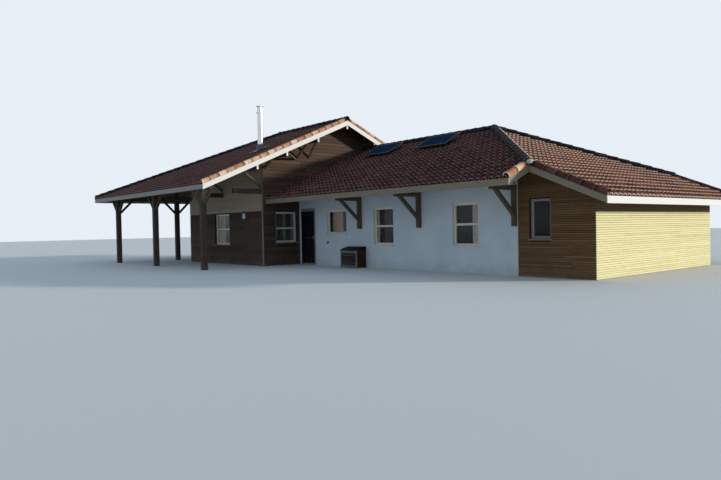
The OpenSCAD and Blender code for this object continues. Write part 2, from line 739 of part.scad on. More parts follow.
// Two panels on wedge rails just above the tiles of the front plane, near the ridge
module solar_panels() color("midnightblue") for (x = [-11270, -8300])
    translate([x, 2110, eave_z + wing_rate * (2110 + eave_out) + 2]) rotate([atan(wing_rate), 0, 0]) {
        lift = [50, 150];
        translate([0, 0, lift[0]]) rotate([atan((lift[1] - lift[0]) / panel_l), 0, 0])
            cube([panel_w, panel_l, 45]);
        for (s = [0.2, 0.8]) translate([panel_w * s - 20, 60, 0]) rotate([90, 0, 90]) linear_extrude(40)
            polygon([[0, 0], [panel_l - 120, 0], [panel_l - 120, lift[1]], [0, lift[0] + 20]]);
    }

// Bare round plaque, just under the pale band
module wall_plaque() color("white") translate([-14486, block_y0 - e, 2010]) rotate([90, 0, 0])
    cylinder(h = 20, r = 215);

// Low timber locker against the white wall, with a lid that falls and rounds to the front
module timber_locker() color("burlywood") {
    x0 = -9760;
    x1 = -8830;
    difference() {
        along_x([[-470, 0], [-470, 640], [-2, 725], [-2, 0]], x0 + 12, x1 - 12);
        box([x0 + 90, -500, 90], [x1 - 90, -458, 560]);
    }
    rise = [for (i = [0:8]) [-484 + 482 * i / 8, 655 + 105 * sin(90 * i / 8)]];
    along_x(concat([[-2, 722], [-484, 632]], rise), x0, x1);
}

module house() translate([model_x, model_y, 0]) children();

house() floor_slabs();
house() front_wall_right_of_door();
house() front_wall_over_door();
house() front_wall_left_of_door();
house() front_wall_timber();
house() end_wall();
house() back_wall_white();
house() back_wall_timber();
house() gable_wall_piers();
house() gable_wall_upper();
house() block_front_wall();
house() block_left_wall();
house() block_back_wall();
house() upper_boarding();
house() corner_boards();
house() wing_tiles_front();
house() wing_tiles_end();
house() wing_tiles_back();
house() wing_decks();
house() block_tiles_front();
house() block_tiles_hip();
house() block_tiles_back();
house() block_decks();
house() eave_boards();
house() bargeboards();
house() ridge_tiles();
house() hip_tiles();
house() verge_tiles();
house() roof_purlins();
house() roof_struts();
house() eave_brackets();
house() porch_posts();
house() porch_beams();
house() porch_braces();
house() window_frames();
house() window_panes();
house() window_sills();
house() door_frame();
house() door_leaf();
house() door_handle();
house() flue_pipe();
house() flue_flashing();
house() solar_panels();
house() wall_plaque();
house() timber_locker();
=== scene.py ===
import math
import random

import bmesh
import bpy
from mathutils import Matrix, Vector


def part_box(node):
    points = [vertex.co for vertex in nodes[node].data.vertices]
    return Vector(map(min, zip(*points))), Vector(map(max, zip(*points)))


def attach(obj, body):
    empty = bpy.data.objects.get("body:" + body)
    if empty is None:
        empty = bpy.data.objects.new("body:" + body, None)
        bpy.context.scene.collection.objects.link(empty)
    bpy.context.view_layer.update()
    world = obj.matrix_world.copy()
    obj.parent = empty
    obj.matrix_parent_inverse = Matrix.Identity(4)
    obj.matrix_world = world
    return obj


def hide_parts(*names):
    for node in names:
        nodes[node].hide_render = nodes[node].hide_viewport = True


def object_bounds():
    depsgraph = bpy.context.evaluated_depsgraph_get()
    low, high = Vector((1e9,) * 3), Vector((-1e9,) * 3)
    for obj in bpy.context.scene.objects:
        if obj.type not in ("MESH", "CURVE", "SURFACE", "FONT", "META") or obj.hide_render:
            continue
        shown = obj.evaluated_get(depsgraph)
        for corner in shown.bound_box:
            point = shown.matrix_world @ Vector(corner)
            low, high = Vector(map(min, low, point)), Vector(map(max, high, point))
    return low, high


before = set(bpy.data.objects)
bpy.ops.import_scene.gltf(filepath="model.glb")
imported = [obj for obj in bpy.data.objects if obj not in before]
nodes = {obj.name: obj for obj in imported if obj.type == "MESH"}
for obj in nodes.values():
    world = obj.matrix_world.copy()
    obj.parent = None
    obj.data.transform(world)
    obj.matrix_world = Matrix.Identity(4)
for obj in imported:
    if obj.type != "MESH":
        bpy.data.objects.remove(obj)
cad_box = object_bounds()


# Camera: it stands off the low end of the wing, at head height, and looks
# along the white wall to the taller block. Its place comes from the house's own corners.
def axes_at(across, along, up, place):
    """A frame from its three directions and its place."""
    return Matrix((*zip(across, along, up, place), (0, 0, 0, 1)))


yaw, pitch, roll = 0.8662, -0.0196, -0.0193
stand = Vector((19.709, -16.6737, 1.4346))
focal_pixels, picture_pixels, film_width = 620, 721, 36
ahead = Vector((-math.sin(yaw) * math.cos(pitch), math.cos(yaw) * math.cos(pitch), math.sin(pitch)))
level = Vector((math.cos(yaw), math.sin(yaw), 0))
upright = level.cross(ahead)
side = math.cos(roll) * level + math.sin(roll) * upright
head = -math.sin(roll) * level + math.cos(roll) * upright
camera = bpy.data.objects.new("camera", bpy.data.cameras.new("camera"))
bpy.context.scene.collection.objects.link(camera)
camera.matrix_world = axes_at(side, head, -ahead, stand)
camera.data.lens = focal_pixels * film_width / picture_pixels
camera.data.sensor_width = film_width
camera.data.clip_end = 500
bpy.context.scene.camera = camera
bpy.context.scene.view_settings.view_transform = "Standard"


# Studio: a pale floor that keeps the house's shadow, a pale backdrop, a broad warm lamp low
# behind the wing's near end and a cool even fill.
def shader_node(tree, kind, inputs=None, **settings):
    made = tree.nodes.new("ShaderNode" + kind)
    for key, value in settings.items():
        setattr(made, key, value)
    for key, value in (inputs or {}).items():
        if isinstance(value, bpy.types.NodeSocket):
            tree.links.new(value, made.inputs[key])
        else:
            made.inputs[key].default_value = value
    return made


def maths(tree, operation, *values):
    return shader_node(tree, "Math", dict(enumerate(values)), operation=operation).outputs[0]


def new_material(name, roughness=0.8, metallic=0.0):
    material = bpy.data.materials.new(name)
    material.use_nodes = True
    tree = material.node_tree
    surface = tree.nodes["Principled BSDF"]
    surface.inputs["Roughness"].default_value = roughness
    surface.inputs["Metallic"].default_value = metallic
    return material, tree, surface


world = bpy.data.worlds.new("studio")
world.use_nodes = True
sky = world.node_tree
sky.nodes.clear()
path = shader_node(sky, "LightPath").outputs
seen = maths(sky, "MAXIMUM", path["Is Camera Ray"], path["Is Glossy Ray"])
seen = maths(sky, "MAXIMUM", seen, path["Is Transmission Ray"])
fill = shader_node(sky, "Background", {"Color": (0.61, 0.81, 1.0, 1), "Strength": 0.55})
backdrop = shader_node(sky, "Background", {"Color": (0.80, 0.86, 0.93, 1), "Strength": 1.0})
mixed = shader_node(sky, "MixShader", {0: seen, 1: fill.outputs[0], 2: backdrop.outputs[0]})
shader_node(sky, "OutputWorld", {"Surface": mixed.outputs[0]})
bpy.context.scene.world = world

lamp = bpy.data.objects.new("key_lamp", bpy.data.lights.new("key_lamp", "SUN"))
bpy.context.scene.collection.objects.link(lamp)
lamp.data.energy = 3.2
lamp.data.angle = math.radians(4)
lamp.data.color = (1.0, 0.90, 0.76)
lamp.rotation_euler = Vector((0.72, 0.70, 0.21)).to_track_quat("Z", "Y").to_euler()

floor_paper, tree, surface = new_material("studio_floor", 0.9)
surface.inputs["Base Color"].default_value = (0.68, 0.68, 0.68, 1)
floor = bpy.data.objects.new("studio_floor", bpy.data.meshes.new("studio_floor"))
bpy.context.scene.collection.objects.link(floor)
bm = bmesh.new()
bmesh.ops.create_grid(bm, x_segments=1, y_segments=1, size=120)
bm.to_mesh(floor.data)
bm.free()
floor.data.materials.append(floor_paper)


# Field tiles: half-round clay tiles and the troughs between them, laid in courses up every
# plane from eave to ridge. Each tile laps over the next one below, and its low end shows.
tile_pitch = 0.22
tile_gauge = 0.335
tile_lap = 0.03
tile_top = 0.09

noise = random.Random(7)
X, Y, Z = Vector((1, 0, 0)), Vector((0, 1, 0)), Vector((0, 0, 1))


def new_group(name, inputs, outputs):
    tree = bpy.data.node_groups.new(name, "ShaderNodeTree")
    for label, kind, value in inputs:
        socket = tree.interface.new_socket(name=label, in_out="INPUT", socket_type="NodeSocket" + kind)
        if value is not None:
            socket.default_value = value
    for label, kind in outputs:
        tree.interface.new_socket(name=label, in_out="OUTPUT", socket_type="NodeSocket" + kind)
    return tree, tree.nodes.new("NodeGroupInput").outputs, tree.nodes.new("NodeGroupOutput").inputs


def place_group(tree, group, inputs):
    return shader_node(tree, "Group", inputs, node_tree=group).outputs


def mix_colours(tree, factor, first, second):
    return shader_node(tree, "Mix", {0: factor, 6: first, 7: second}, data_type="RGBA").outputs[2]


def ranged(tree, value, low, high, to_low=0.0, to_high=1.0):
    return shader_node(tree, "MapRange", {0: value, 1: low, 2: high, 3: to_low, 4: to_high}).outputs[0]


def attribute(tree, name):
    return shader_node(tree, "Attribute", attribute_name=name).outputs["Fac"]


def object_place(tree):
    return shader_node(tree, "TexCoord").outputs["Object"]


def mottle(tree, place, scale, detail, roughness=0.5):
    return shader_node(tree, "TexNoise", {"Vector": place, "Scale": scale, "Detail": detail,
                                          "Roughness": roughness}).outputs["Fac"]


def bumped(tree, surface, height, strength, distance):
    bump = shader_node(tree, "Bump", {"Height": height, "Strength": strength, "Distance": distance})
    tree.links.new(bump.outputs[0], surface.inputs["Normal"])


# Fired clay: a tone for every tile, blotches from the kiln and dirt, a paler rounded nose where
# the tile is worn, and painted shade where it goes under the next one and in the troughs
fired_clay, given, result = new_group("fired_clay", [
    ("Place", "Vector", None), ("Tone", "Float", 0.5), ("Round", "Float", 1.0), ("Reach", "Float", 0.5),
    ("Dark", "Color", (0.035, 0.012, 0.008, 1)), ("Body", "Color", (0.235, 0.062, 0.026, 1)),
    ("Pale", "Color", (0.42, 0.140, 0.072, 1)), ("Worn", "Color", (1.0, 0.74, 0.57, 1)), ("Wear", "Float", 0.18),
    ("Dirt", "Color", (0.014, 0.008, 0.007, 1))],
    [("Color", "Color"), ("Height", "Float")])
t = fired_clay
blotch = mottle(t, given["Place"], 2.2, 4.0, 0.65)
patch = mottle(t, given["Place"], 0.45, 3.0, 0.6)
speck = mottle(t, given["Place"], 38.0, 3.0, 0.7)
shade = maths(t, "ADD", given["Tone"], ranged(t, blotch, 0.35, 0.65, -0.22, 0.22))
shade = maths(t, "ADD", shade, ranged(t, patch, 0.35, 0.65, -0.12, 0.12))
colour = mix_colours(t, ranged(t, shade, 0.0, 0.55), given["Dark"], given["Body"])
colour = mix_colours(t, ranged(t, shade, 0.55, 1.1), colour, given["Pale"])
colour = mix_colours(t, ranged(t, speck, 0.52, 0.75, 0.0, 0.35), colour, given["Dark"])
# Painted shade: darker towards each tile's high end, where the next tile's nose shades it, and in the troughs
tucked_shade = ranged(t, given["Reach"], 0.60, 0.90, 0.0, 0.88)
trough = ranged(t, given["Round"], 0.0, 1.0, 0.82, 0.0)
colour = mix_colours(t, maths(t, "MAXIMUM", tucked_shade, trough), colour, given["Dirt"])
worn = maths(t, "MULTIPLY", ranged(t, given["Reach"], 0.02, given["Wear"], 1.0, 0.0), given["Round"])
worn = maths(t, "MULTIPLY", worn, ranged(t, speck, 0.3, 0.6, 1.0, 0.75))
t.links.new(mix_colours(t, worn, colour, given["Worn"]), result["Color"])
t.links.new(speck, result["Height"])


def clay_material(name, **colours):
    material, tree, surface = new_material(name, 0.78)
    surface.inputs["Specular IOR Level"].default_value = 0.08
    clay = place_group(tree, fired_clay, {
        "Place": object_place(tree), "Tone": attribute(tree, "tone"), "Round": attribute(tree, "round_face"),
        "Reach": attribute(tree, "reach"), **colours})
    tree.links.new(clay["Color"], surface.inputs["Base Color"])
    bumped(tree, surface, clay["Height"], 0.35, 0.004)
    return material


# The end plane's tiles take field_clay. Every other plane takes a much darker copy of the same clay, which is painted
# shade.
field_clay = clay_material("field_clay")
painted_shade_clay = clay_material("painted_shade_field_clay", Dark=(0.016, 0.008, 0.008, 1), Body=(0.072, 0.024, 0.020, 1),
                            Pale=(0.150, 0.056, 0.046, 1), Worn=(0.36, 0.195, 0.165, 1), Wear=0.15)


def finish_piece(name, bm, materials, body="house", smooth=None):
    mesh = bpy.data.meshes.new(name)
    bm.to_mesh(mesh)
    bm.free()
    for material in materials if isinstance(materials, (list, tuple)) else [materials]:
        mesh.materials.append(material)
    if smooth:
        mesh.shade_smooth()
        mesh.set_sharp_from_angle(angle=math.radians(smooth))
    piece = bpy.data.objects.new(name, mesh)
    bpy.context.scene.collection.objects.link(piece)
    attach(piece, body)
    return piece


def trimmed(bm, planes):
    """Cuts away what is past each plane, given as a point on it and the direction to cut away."""
    for point, outward in planes:
        bmesh.ops.bisect_plane(bm, geom=bm.verts[:] + bm.edges[:] + bm.faces[:], plane_co=point,
                               plane_no=outward, clear_outer=True)


def repeated(bm, step, count):
    """Copies all of a mesh count times in a row, by doubling it."""
    done = 1
    while done < count:
        whole = bm.verts[:] + bm.edges[:] + bm.faces[:]
        if done * 2 > count:
            keep = len(bm.faces) // done * (count - done)
            faces = bm.faces[:keep]
            verts = list({v for f in faces for v in f.verts})
            edges = list({e for f in faces for e in f.edges})
            verts.sort(key=lambda v: v.index)
            edges.sort(key=lambda v: v.index)
            whole = verts + edges + faces
            copies = count - done
        else:
            copies = done
        made = bmesh.ops.duplicate(bm, geom=whole)["geom"]
        bmesh.ops.translate(bm, vec=step * done, verts=[v for v in made if isinstance(v, bmesh.types.BMVert)])
        done += copies
        bm.verts.ensure_lookup_table()
        bm.verts.index_update()
        bm.edges.index_update()
        bm.faces.ensure_lookup_table()


def tile_layers(bm):
    """A tone for each tile, which of its faces are round, and how far up the tile a point is."""
    found = []
    for layers, name in ((bm.faces.layers.float, "tone"), (bm.faces.layers.float, "round_face"),
                         (bm.verts.layers.float, "reach")):
        found.append(layers.get(name) or layers.new(name))
    return found


def swept_strip(bm, low, high, inner, round_from=-9.0):
    """A tile from a row of points: its skin from the low end to the high end, and the edge at the low end."""
    tone, round_face, reach = tile_layers(bm)
    first = [bm.verts.new(p) for p in low]
    edges = [bm.edges.new(pair) for pair in zip(first, first[1:])]
    skin = bmesh.ops.extrude_edge_only(bm, edges=edges)["geom"]
    second = sorted((v for v in skin if isinstance(v, bmesh.types.BMVert)), key=lambda v: v.index)
    # The new points lie on the old ones, in the same order along the row
    for vert, place in zip(order_like(first, second), high):
        vert.co = place
        vert[reach] = 1.0
    lip = bmesh.ops.extrude_edge_only(bm, edges=edges)["geom"]
    third = [v for v in lip if isinstance(v, bmesh.types.BMVert)]
    for vert, place in zip(order_like(first, third), inner):
        vert.co = place
        vert[reach] = 0.0
    for vert in first:
        vert[reach] = 0.0
    for face in (f for f in skin + lip if isinstance(f, bmesh.types.BMFace)):
        face[round_face] = 1.0 if face.calc_center_median().x > round_from else 0.0


def order_like(row, found):
    left = list(found)
    out = []
    for vert in row:
        nearest = min(left, key=lambda v: (v.co - vert.co).length)
        left.remove(nearest)
        out.append(nearest)
    return out


def tile_profile(lift, half, squeeze=1.0):
    """Points of one trough and one half-round, across the slope."""
    points = []
    for i in range(4):
        a = math.pi * i / 4
        points.append(((-0.5 + 0.34 * i / 4) * tile_pitch, -0.062 - 0.012 * math.sin(a) + lift))
    for i in range(7):
        a = math.pi - math.pi * i / 6
        points.append((0.17 * tile_pitch + half * math.cos(a), -0.062 + 0.06 * squeeze * math.sin(a) + lift))
    return points


def lay_tiles(name, eave, uphill, width, depth, slope, cuts, material, node):
    """Covers one plane with tiles. The plane starts at the middle of its eave and rises uphill."""
    angle = math.atan(slope)
    along = Vector((uphill.y, -uphill.x, 0))
    rise = uphill * math.cos(angle) + Vector((0, 0, math.sin(angle)))
    place = axes_at(along, rise, along.cross(rise), eave)
    bm = bmesh.new()
    tone = tile_layers(bm)[0]
    low = [Vector((u, 0, n)) for u, n in tile_profile(-0.002, 0.33 * tile_pitch)]
    high = [Vector((u, tile_gauge + tile_lap, n)) for u, n in tile_profile(-0.020, 0.29 * tile_pitch, 0.9)]
    inner = [Vector((u, 0.004, n)) for u, n in tile_profile(-0.017, 0.30 * tile_pitch, 0.95)]
    swept_strip(bm, low, high, inner, -0.17 * tile_pitch)
    faces, points = len(bm.faces), len(bm.verts)
    columns = math.ceil(width / tile_pitch) + 1
    rows = math.ceil(depth / math.cos(angle) / tile_gauge)
    repeated(bm, Vector((tile_pitch, 0, 0)), columns)
    repeated(bm, Vector((0, tile_gauge, 0)), rows)
    bmesh.ops.translate(bm, vec=(-(columns - 1) / 2 * tile_pitch, 0, 0), verts=bm.verts)
    # Every tile has a tone of its own and lies a little unevenly, except at the eave's edge
    bm.verts.ensure_lookup_table()
    for i in range(len(bm.faces) // faces):
        shade = min(1, max(0, noise.gauss(0.5, 0.22)))
        for face in bm.faces[i * faces:(i + 1) * faces]:
            face[tone] = shade
        push = (noise.uniform(0, 0.008) if i >= columns else 0, noise.uniform(-0.003, 0))
        turn = noise.uniform(-0.012, 0.012)
        for vert in bm.verts[i * points:(i + 1) * points]:
            vert.co.x += turn * (vert.co.y - i // columns * tile_gauge)
            vert.co.y += push[0]
            vert.co.z += push[1]
    bmesh.ops.transform(bm, matrix=place, verts=bm.verts)
    bmesh.ops.reverse_faces(bm, faces=bm.faces)
    trimmed(bm, cuts)
    piece = finish_piece(name, bm, material, smooth=50)
    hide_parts(node)


front_low, front_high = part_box("wing_tiles_front")
back_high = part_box("wing_tiles_back")[1]
end_low, end_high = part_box("wing_tiles_end")
ridge_y = (end_low.y + end_high.y) / 2
wing_eave = front_low.z + tile_top
wing_slope = (front_high.z - wing_eave) / (front_high.y - front_low.y)
end_eave = end_low.z + tile_top
end_slope = (end_high.z - end_eave) / (end_high.x - end_low.x)
apex = Vector((end_low.x, ridge_y, end_high.z))
hip_foot = Vector((front_high.x, end_low.y, wing_eave + wing_slope * (end_low.y - front_low.y)))
hip_out = Vector((ridge_y - end_low.y, front_high.x - end_low.x, 0)).normalized()
hip_out_back = Vector((hip_out.x, -hip_out.y, 0))
x_gable, x_verge = front_low.x, front_high.x

for name, eave_y, uphill, hip in (("front", front_low.y, Y, hip_out), ("back", back_high.y, -Y, hip_out_back)):
    lay_tiles(name + "_field_tiles", Vector(((x_gable + x_verge) / 2, eave_y, wing_eave)), uphill,
              x_verge - x_gable, abs(ridge_y - eave_y), wing_slope,
              [(X * x_gable, -X), (X * x_verge, X), (apex, hip), (apex, uphill)], painted_shade_clay,
              "wing_tiles_" + name)
lay_tiles("end_field_tiles", Vector((end_high.x, ridge_y, end_eave)), -X,
          end_high.y - end_low.y, end_high.x - end_low.x, end_slope,
          [(Y * end_low.y, -Y), (Y * end_high.y, Y), (apex, -hip_out), (apex, -hip_out_back)], field_clay,
          "wing_tiles_end")

block_low, block_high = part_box("block_tiles_front")
rear_eave_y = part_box("block_tiles_back")[1].y
left_low, left_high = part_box("block_tiles_hip")
block_ridge = block_high.y
block_eave = block_low.z + tile_top
block_slope = (block_high.z - block_eave) / (block_ridge - block_low.y)
block_apex = Vector((left_high.x, block_ridge, block_high.z))
corner_out = Vector((-(block_ridge - block_low.y), left_high.x - left_low.x, 0)).normalized()
corner_out_back = Vector((corner_out.x, -corner_out.y, 0))
x_left, x_rake = left_low.x, block_high.x

for name, eave_y, uphill, hip in (("front", block_low.y, Y, corner_out), ("back", rear_eave_y, -Y, corner_out_back)):
    lay_tiles("block_" + name + "_field_tiles", Vector(((x_left + x_rake) / 2, eave_y, block_eave)), uphill,
              x_rake - x_left, abs(block_ridge - eave_y), block_slope,
              [(X * x_rake, X), (block_apex, hip), (block_apex, uphill)], painted_shade_clay, "block_tiles_" + name)
lay_tiles("block_left_field_tiles", Vector((x_left, block_ridge, block_eave)), X,
          left_high.y - left_low.y, left_high.x - left_low.x, block_slope,
          [(block_apex, -corner_out), (block_apex, -corner_out_back)], painted_shade_clay, "block_tiles_hip")


# Ridge, hip and verge tiles: barrel tiles bedded in pale mortar over every line where two
# planes meet, and down the open verges. Each laps the next one below.
cap_sink = 0.02
# The ridge and hip caps are painted blue-black: painted shade, with a painted reflection of the sky on their shaded
# side
painted_shade_cap_clay = clay_material("painted_shade_cap_clay", Dark=(0.006, 0.008, 0.014, 1), Body=(0.018, 0.021, 0.033, 1),
                         Pale=(0.050, 0.046, 0.055, 1), Worn=(0.12, 0.09, 0.085, 1), Wear=0.05)
verge_clay = clay_material("verge_clay", Dark=(0.40, 0.155, 0.085, 1), Body=(0.68, 0.36, 0.22, 1),
                           Pale=(0.88, 0.70, 0.50, 1), Worn=(0.88, 0.70, 0.54, 1), Wear=0.05,
                           Dirt=(0.05, 0.025, 0.018, 1))
# A dark copy of the verge clay for the verge tiles along the low end's front and back: painted shade
painted_shade_verge_clay = clay_material("painted_shade_verge_clay", Dark=(0.040, 0.016, 0.013, 1), Body=(0.115, 0.045, 0.035, 1),
                                Pale=(0.20, 0.095, 0.075, 1), Worn=(0.30, 0.17, 0.14, 1), Wear=0.05)


def mottled(name, roughness, scale, detail, dark, pale, metallic=0.0, rough=0.5, span=None, bump=None):
    """A material of two colours mixed by one noise, over all of it or a span of it, with a bump of the same."""
    material, tree, surface = new_material(name, roughness, metallic)
    grit = mottle(tree, object_place(tree), scale, detail, rough)
    share = ranged(tree, grit, *span) if span else grit
    tree.links.new(mix_colours(tree, share, (*dark, 1), (*pale, 1)), surface.inputs["Base Color"])
    if bump:
        bumped(tree, surface, grit, *bump)
    return material


bed_mortar = mottled("bed_mortar", 0.9, 30.0, 4.0, (0.34, 0.27, 0.21), (0.74, 0.64, 0.52), bump=(0.5, 0.004))


def along_line(start, finish):
    """A place whose second axis runs from start to finish and whose third axis points up."""
    run = (finish - start).normalized()
    across = run.cross(Z).normalized()
    return axes_at(across, run, across.cross(run), start)


def arc(radius, v, lowest, steps, sink=0.0, flat=1.0):
    span = math.pi + 2 * lowest
    return [Vector((radius * math.cos(a), v, flat * radius * math.sin(a) - sink))
            for a in (-lowest + span * i / steps for i in range(steps + 1))]


def lay_row(bm, start, finish, gauge, section, spread=0.25):
    """A row of tiles along a line; section gives the points across a tile, from how far up it they are."""
    tone = tile_layers(bm)[0]
    length = (finish - start).length
    count = max(1, round(length / gauge))
    gauge = length / count
    place = along_line(start, finish)
    for i in range(count):
        before, faces = len(bm.verts), len(bm.faces)
        v = i * gauge
        low = [Vector((u, v, w)) for u, w in section(0.0, 0.0)]
        high = [Vector((u, min(v + gauge + 0.04, length), w)) for u, w in section(1.0, 0.0)]
        inner = [Vector((u, v + 0.006, w)) for u, w in section(0.0, 0.017)]
        swept_strip(bm, low, high, inner)
        bm.verts.ensure_lookup_table()
        bm.faces.ensure_lookup_table()
        shade = min(1, max(0, noise.gauss(0.5, spread)))
        for face in bm.faces[faces:]:
            face[tone] = shade
        skew = Matrix.Rotation(noise.uniform(-0.014, 0.014), 4, "Z")
        centre = Matrix.Translation((0, v, noise.uniform(-0.002, 0.003)))
        bmesh.ops.transform(bm, matrix=place @ centre @ skew @ Matrix.Translation((0, -v, 0)),
                            verts=bm.verts[before:])


def barrel(radius, lowest=0.35):
    """Section of a half-round ridge or hip tile, which narrows up its length."""
    def section(up, inset):
        r = radius * (1 - 0.16 * up) - inset
        return [(p.x, p.z - 0.004 * up) for p in arc(r, 0, lowest, 12)]
    return section


def verge_angle(outward):
    """Section of a verge tile: a rounded back on the field tiles and an upright flank over the board."""
    def section(up, inset):
        k = 1 - 0.15 * up
        points = [(-0.105, 0.010), (-0.095, 0.045), (-0.070, 0.072), (-0.030, 0.085), (0.020, 0.082),
                  (0.060, 0.062), (0.082, 0.030), (0.090, -0.010), (0.092, -0.060)]
        centre = Vector((0.0, -0.02))
        out = []
        for u, w in points:
            spot = Vector((u, w)) - centre
            spot = spot * k - spot.normalized() * inset
            out.append((outward * (spot.x + centre.x), spot.y + centre.y + 0.01 * up))
        return out[::-1] if outward > 0 else out
    return section


def lay_bed(bm, start, finish, radius, height, sink):
    """A bed of mortar along a line, a little uneven."""
    place = along_line(start, finish)
    length = (finish - start).length
    steps = max(2, round(length / 0.18))
    row = [bm.verts.new(p) for p in arc(radius, 0, 0, 6, sink, height / radius)]
    edges = [bm.edges.new(pair) for pair in zip(row, row[1:])]
    everything = list(row)
    for i in range(steps):
        made = bmesh.ops.extrude_edge_only(bm, edges=edges)["geom"]
        fresh = order_like(row, [v for v in made if isinstance(v, bmesh.types.BMVert)])
        wobble = noise.uniform(0.94, 1.06)
        for vert, spot in zip(fresh, arc(radius * wobble, length * (i + 1) / steps, 0, 6, sink, height / radius)):
            vert.co = spot
        edges = [bm.edges.get(pair) for pair in zip(fresh, fresh[1:])]
        row = fresh
        everything += fresh
    bmesh.ops.transform(bm, matrix=place, verts=everything)


def hood(bm, point, radius):
    """A lump trowelled or moulded over the place where hips meet."""
    made = bmesh.ops.create_uvsphere(bm, u_segments=18, v_segments=12, radius=radius)["verts"]
    for vert in made:
        away = vert.co.normalized()
        swell = 1 + 0.05 * math.sin(5 * away.x + 2) * math.cos(4 * away.y + 1) + noise.uniform(-0.012, 0.012)
        vert.co = Vector((vert.co.x * 1.12, vert.co.y * 1.12, max(vert.co.z, -0.55 * radius) * 0.95)) * swell
    bmesh.ops.translate(bm, vec=point, verts=made)


down = Z * -cap_sink
low_box, high_box = cad_box
inside = [(X * (low_box[0] + 0.001), -X), (X * (high_box[0] - 0.001), X),
          (Y * (low_box[1] + 0.001), -Y), (Y * (high_box[1] - 0.001), Y)]
cap_gauge, cap_section = 0.40, barrel(0.12)

bm = bmesh.new()
gable_end = Vector((x_gable, ridge_y, apex.z))
rake_end = Vector((x_rake - 0.002, block_ridge, block_apex.z))
lay_row(bm, apex + down, gable_end + down, cap_gauge, cap_section)
lay_row(bm, rake_end + down, block_apex + down, cap_gauge, cap_section)
for top in (apex, block_apex):
    before = len(bm.faces)
    hood(bm, top + down, 0.135)
    bm.faces.ensure_lookup_table()
    for face in bm.faces[before:]:
        face[tile_layers(bm)[0]] = 0.4
        face[tile_layers(bm)[1]] = 0.5
piece = finish_piece("ridge_caps", bm, painted_shade_cap_clay, smooth=50)
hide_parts("ridge_tiles")

feet = [(hip_foot, apex), (Vector((hip_foot.x, end_high.y, hip_foot.z)), apex)]
corners = [(Vector((x_left, eave_y, block_eave)), block_apex) for eave_y in (block_low.y, rear_eave_y)]
bm = bmesh.new()
for foot, top in feet + corners:
    lay_row(bm, foot + down, top + down, cap_gauge, cap_section)
trimmed(bm, inside)
piece = finish_piece("hip_caps", bm, painted_shade_cap_clay, smooth=50)
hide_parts("hip_tiles")

# Verge tiles lie on the last column of field tiles and hang over the edge's board
bm = bmesh.new()
verge_in = 0.065
verge_lines = []
for sign, eave_y in ((1, block_low.y), (-1, rear_eave_y)):
    verge_lines.append((Vector((x_rake - verge_in, eave_y, block_eave)),
                        Vector((x_rake - verge_in, block_ridge - sign * 0.10, block_apex.z - 0.10 * block_slope)),
                        sign, 0.375))
for sign, eave_y, turn_y in ((1, front_low.y, end_low.y), (-1, back_high.y, end_high.y)):
    verge_lines.append((Vector((x_verge - verge_in, eave_y, wing_eave)),
                        Vector((x_verge - verge_in, turn_y - sign * 0.11, hip_foot.z - 0.11 * wing_slope)),
                        sign, 0.43))
    verge_lines.append((Vector((end_high.x, turn_y + sign * verge_in, end_eave)),
                        Vector((x_verge + 0.10, turn_y + sign * verge_in, hip_foot.z - 0.10 * end_slope)),
                        -sign, 0.39))
for start, finish, outward, gauge in verge_lines:
    before = len(bm.faces)
    lay_row(bm, start + down, finish + down, gauge, verge_angle(outward), 0.3)
    bm.faces.ensure_lookup_table()
    for face in bm.faces[before:]:
        # The rows along the low end's front and back edges take the dark copy: painted shade
        face.material_index = 1 if abs(finish.x - start.x) > 0.1 else 0
trimmed(bm, inside)
piece = finish_piece("verge_caps", bm, [verge_clay, painted_shade_verge_clay], smooth=50)
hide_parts("verge_tiles")

bm = bmesh.new()
for foot, top in feet[1:] + corners + [(apex, gable_end), (block_apex, rake_end)]:
    lay_bed(bm, foot + down, top + down, 0.096, 0.024, 0.0)
# Beside the near hip's tiles the mortar shows as a pale line on the low end's side
outside = down + Vector((0.045, 0.045, -0.006))
lay_bed(bm, feet[0][0] + outside, apex + outside, 0.130, 0.040, 0.0)
for foot, _ in feet:
    hood(bm, foot + down + Vector((0.03, 0, 0)), 0.085)
trimmed(bm, inside)
piece = finish_piece("mortar_beds", bm, bed_mortar, smooth=40)


# Timber: sawn softwood, with its grain along each board and a tone of its own for every
# board. Painted, stained and weathered finishes are all made from it.
sawn_wood, given, result = new_group("sawn_wood", [
    ("Place", "Vector", None), ("Tone", "Float", 0.5), ("Dark", "Color", None), ("Body", "Color", None),
    ("Pale", "Color", None), ("Contrast", "Float", 1.0)], [("Color", "Color"), ("Height", "Float")])
t = sawn_wood
grain = shader_node(t, "TexNoise", {
    "Vector": given["Place"], "W": maths(t, "MULTIPLY", given["Tone"], 43.0), "Scale": 5.0, "Detail": 5.0,
    "Roughness": 0.6, "Distortion": 0.3}, noise_dimensions="4D").outputs["Fac"]
spread = maths(t, "MULTIPLY", maths(t, "SUBTRACT", grain, 0.5), given["Contrast"])
shade = maths(t, "ADD", given["Tone"], spread)
colour = mix_colours(t, ranged(t, shade, 0.0, 0.5), given["Dark"], given["Body"])
colour = mix_colours(t, ranged(t, shade, 0.5, 1.0), colour, given["Pale"])
t.links.new(colour, result["Color"])
t.links.new(grain, result["Height"])

# Rain splash: dust that dries on the lowest part of every wall and post
rain_splash, given, result = new_group("rain_splash", [("Place", "Vector", None), ("Reach", "Float", 0.35)],
                                       [("Mask", "Float")])
t = rain_splash
height = shader_node(t, "SeparateXYZ", {0: given["Place"]}).outputs["Z"]
patch = mottle(t, given["Place"], 3.0, 4.0, 0.6)
lifted = maths(t, "ADD", height, ranged(t, patch, 0.3, 0.7, -0.18, 0.18))
t.links.new(ranged(t, lifted, given["Reach"], 0.0), result["Mask"])


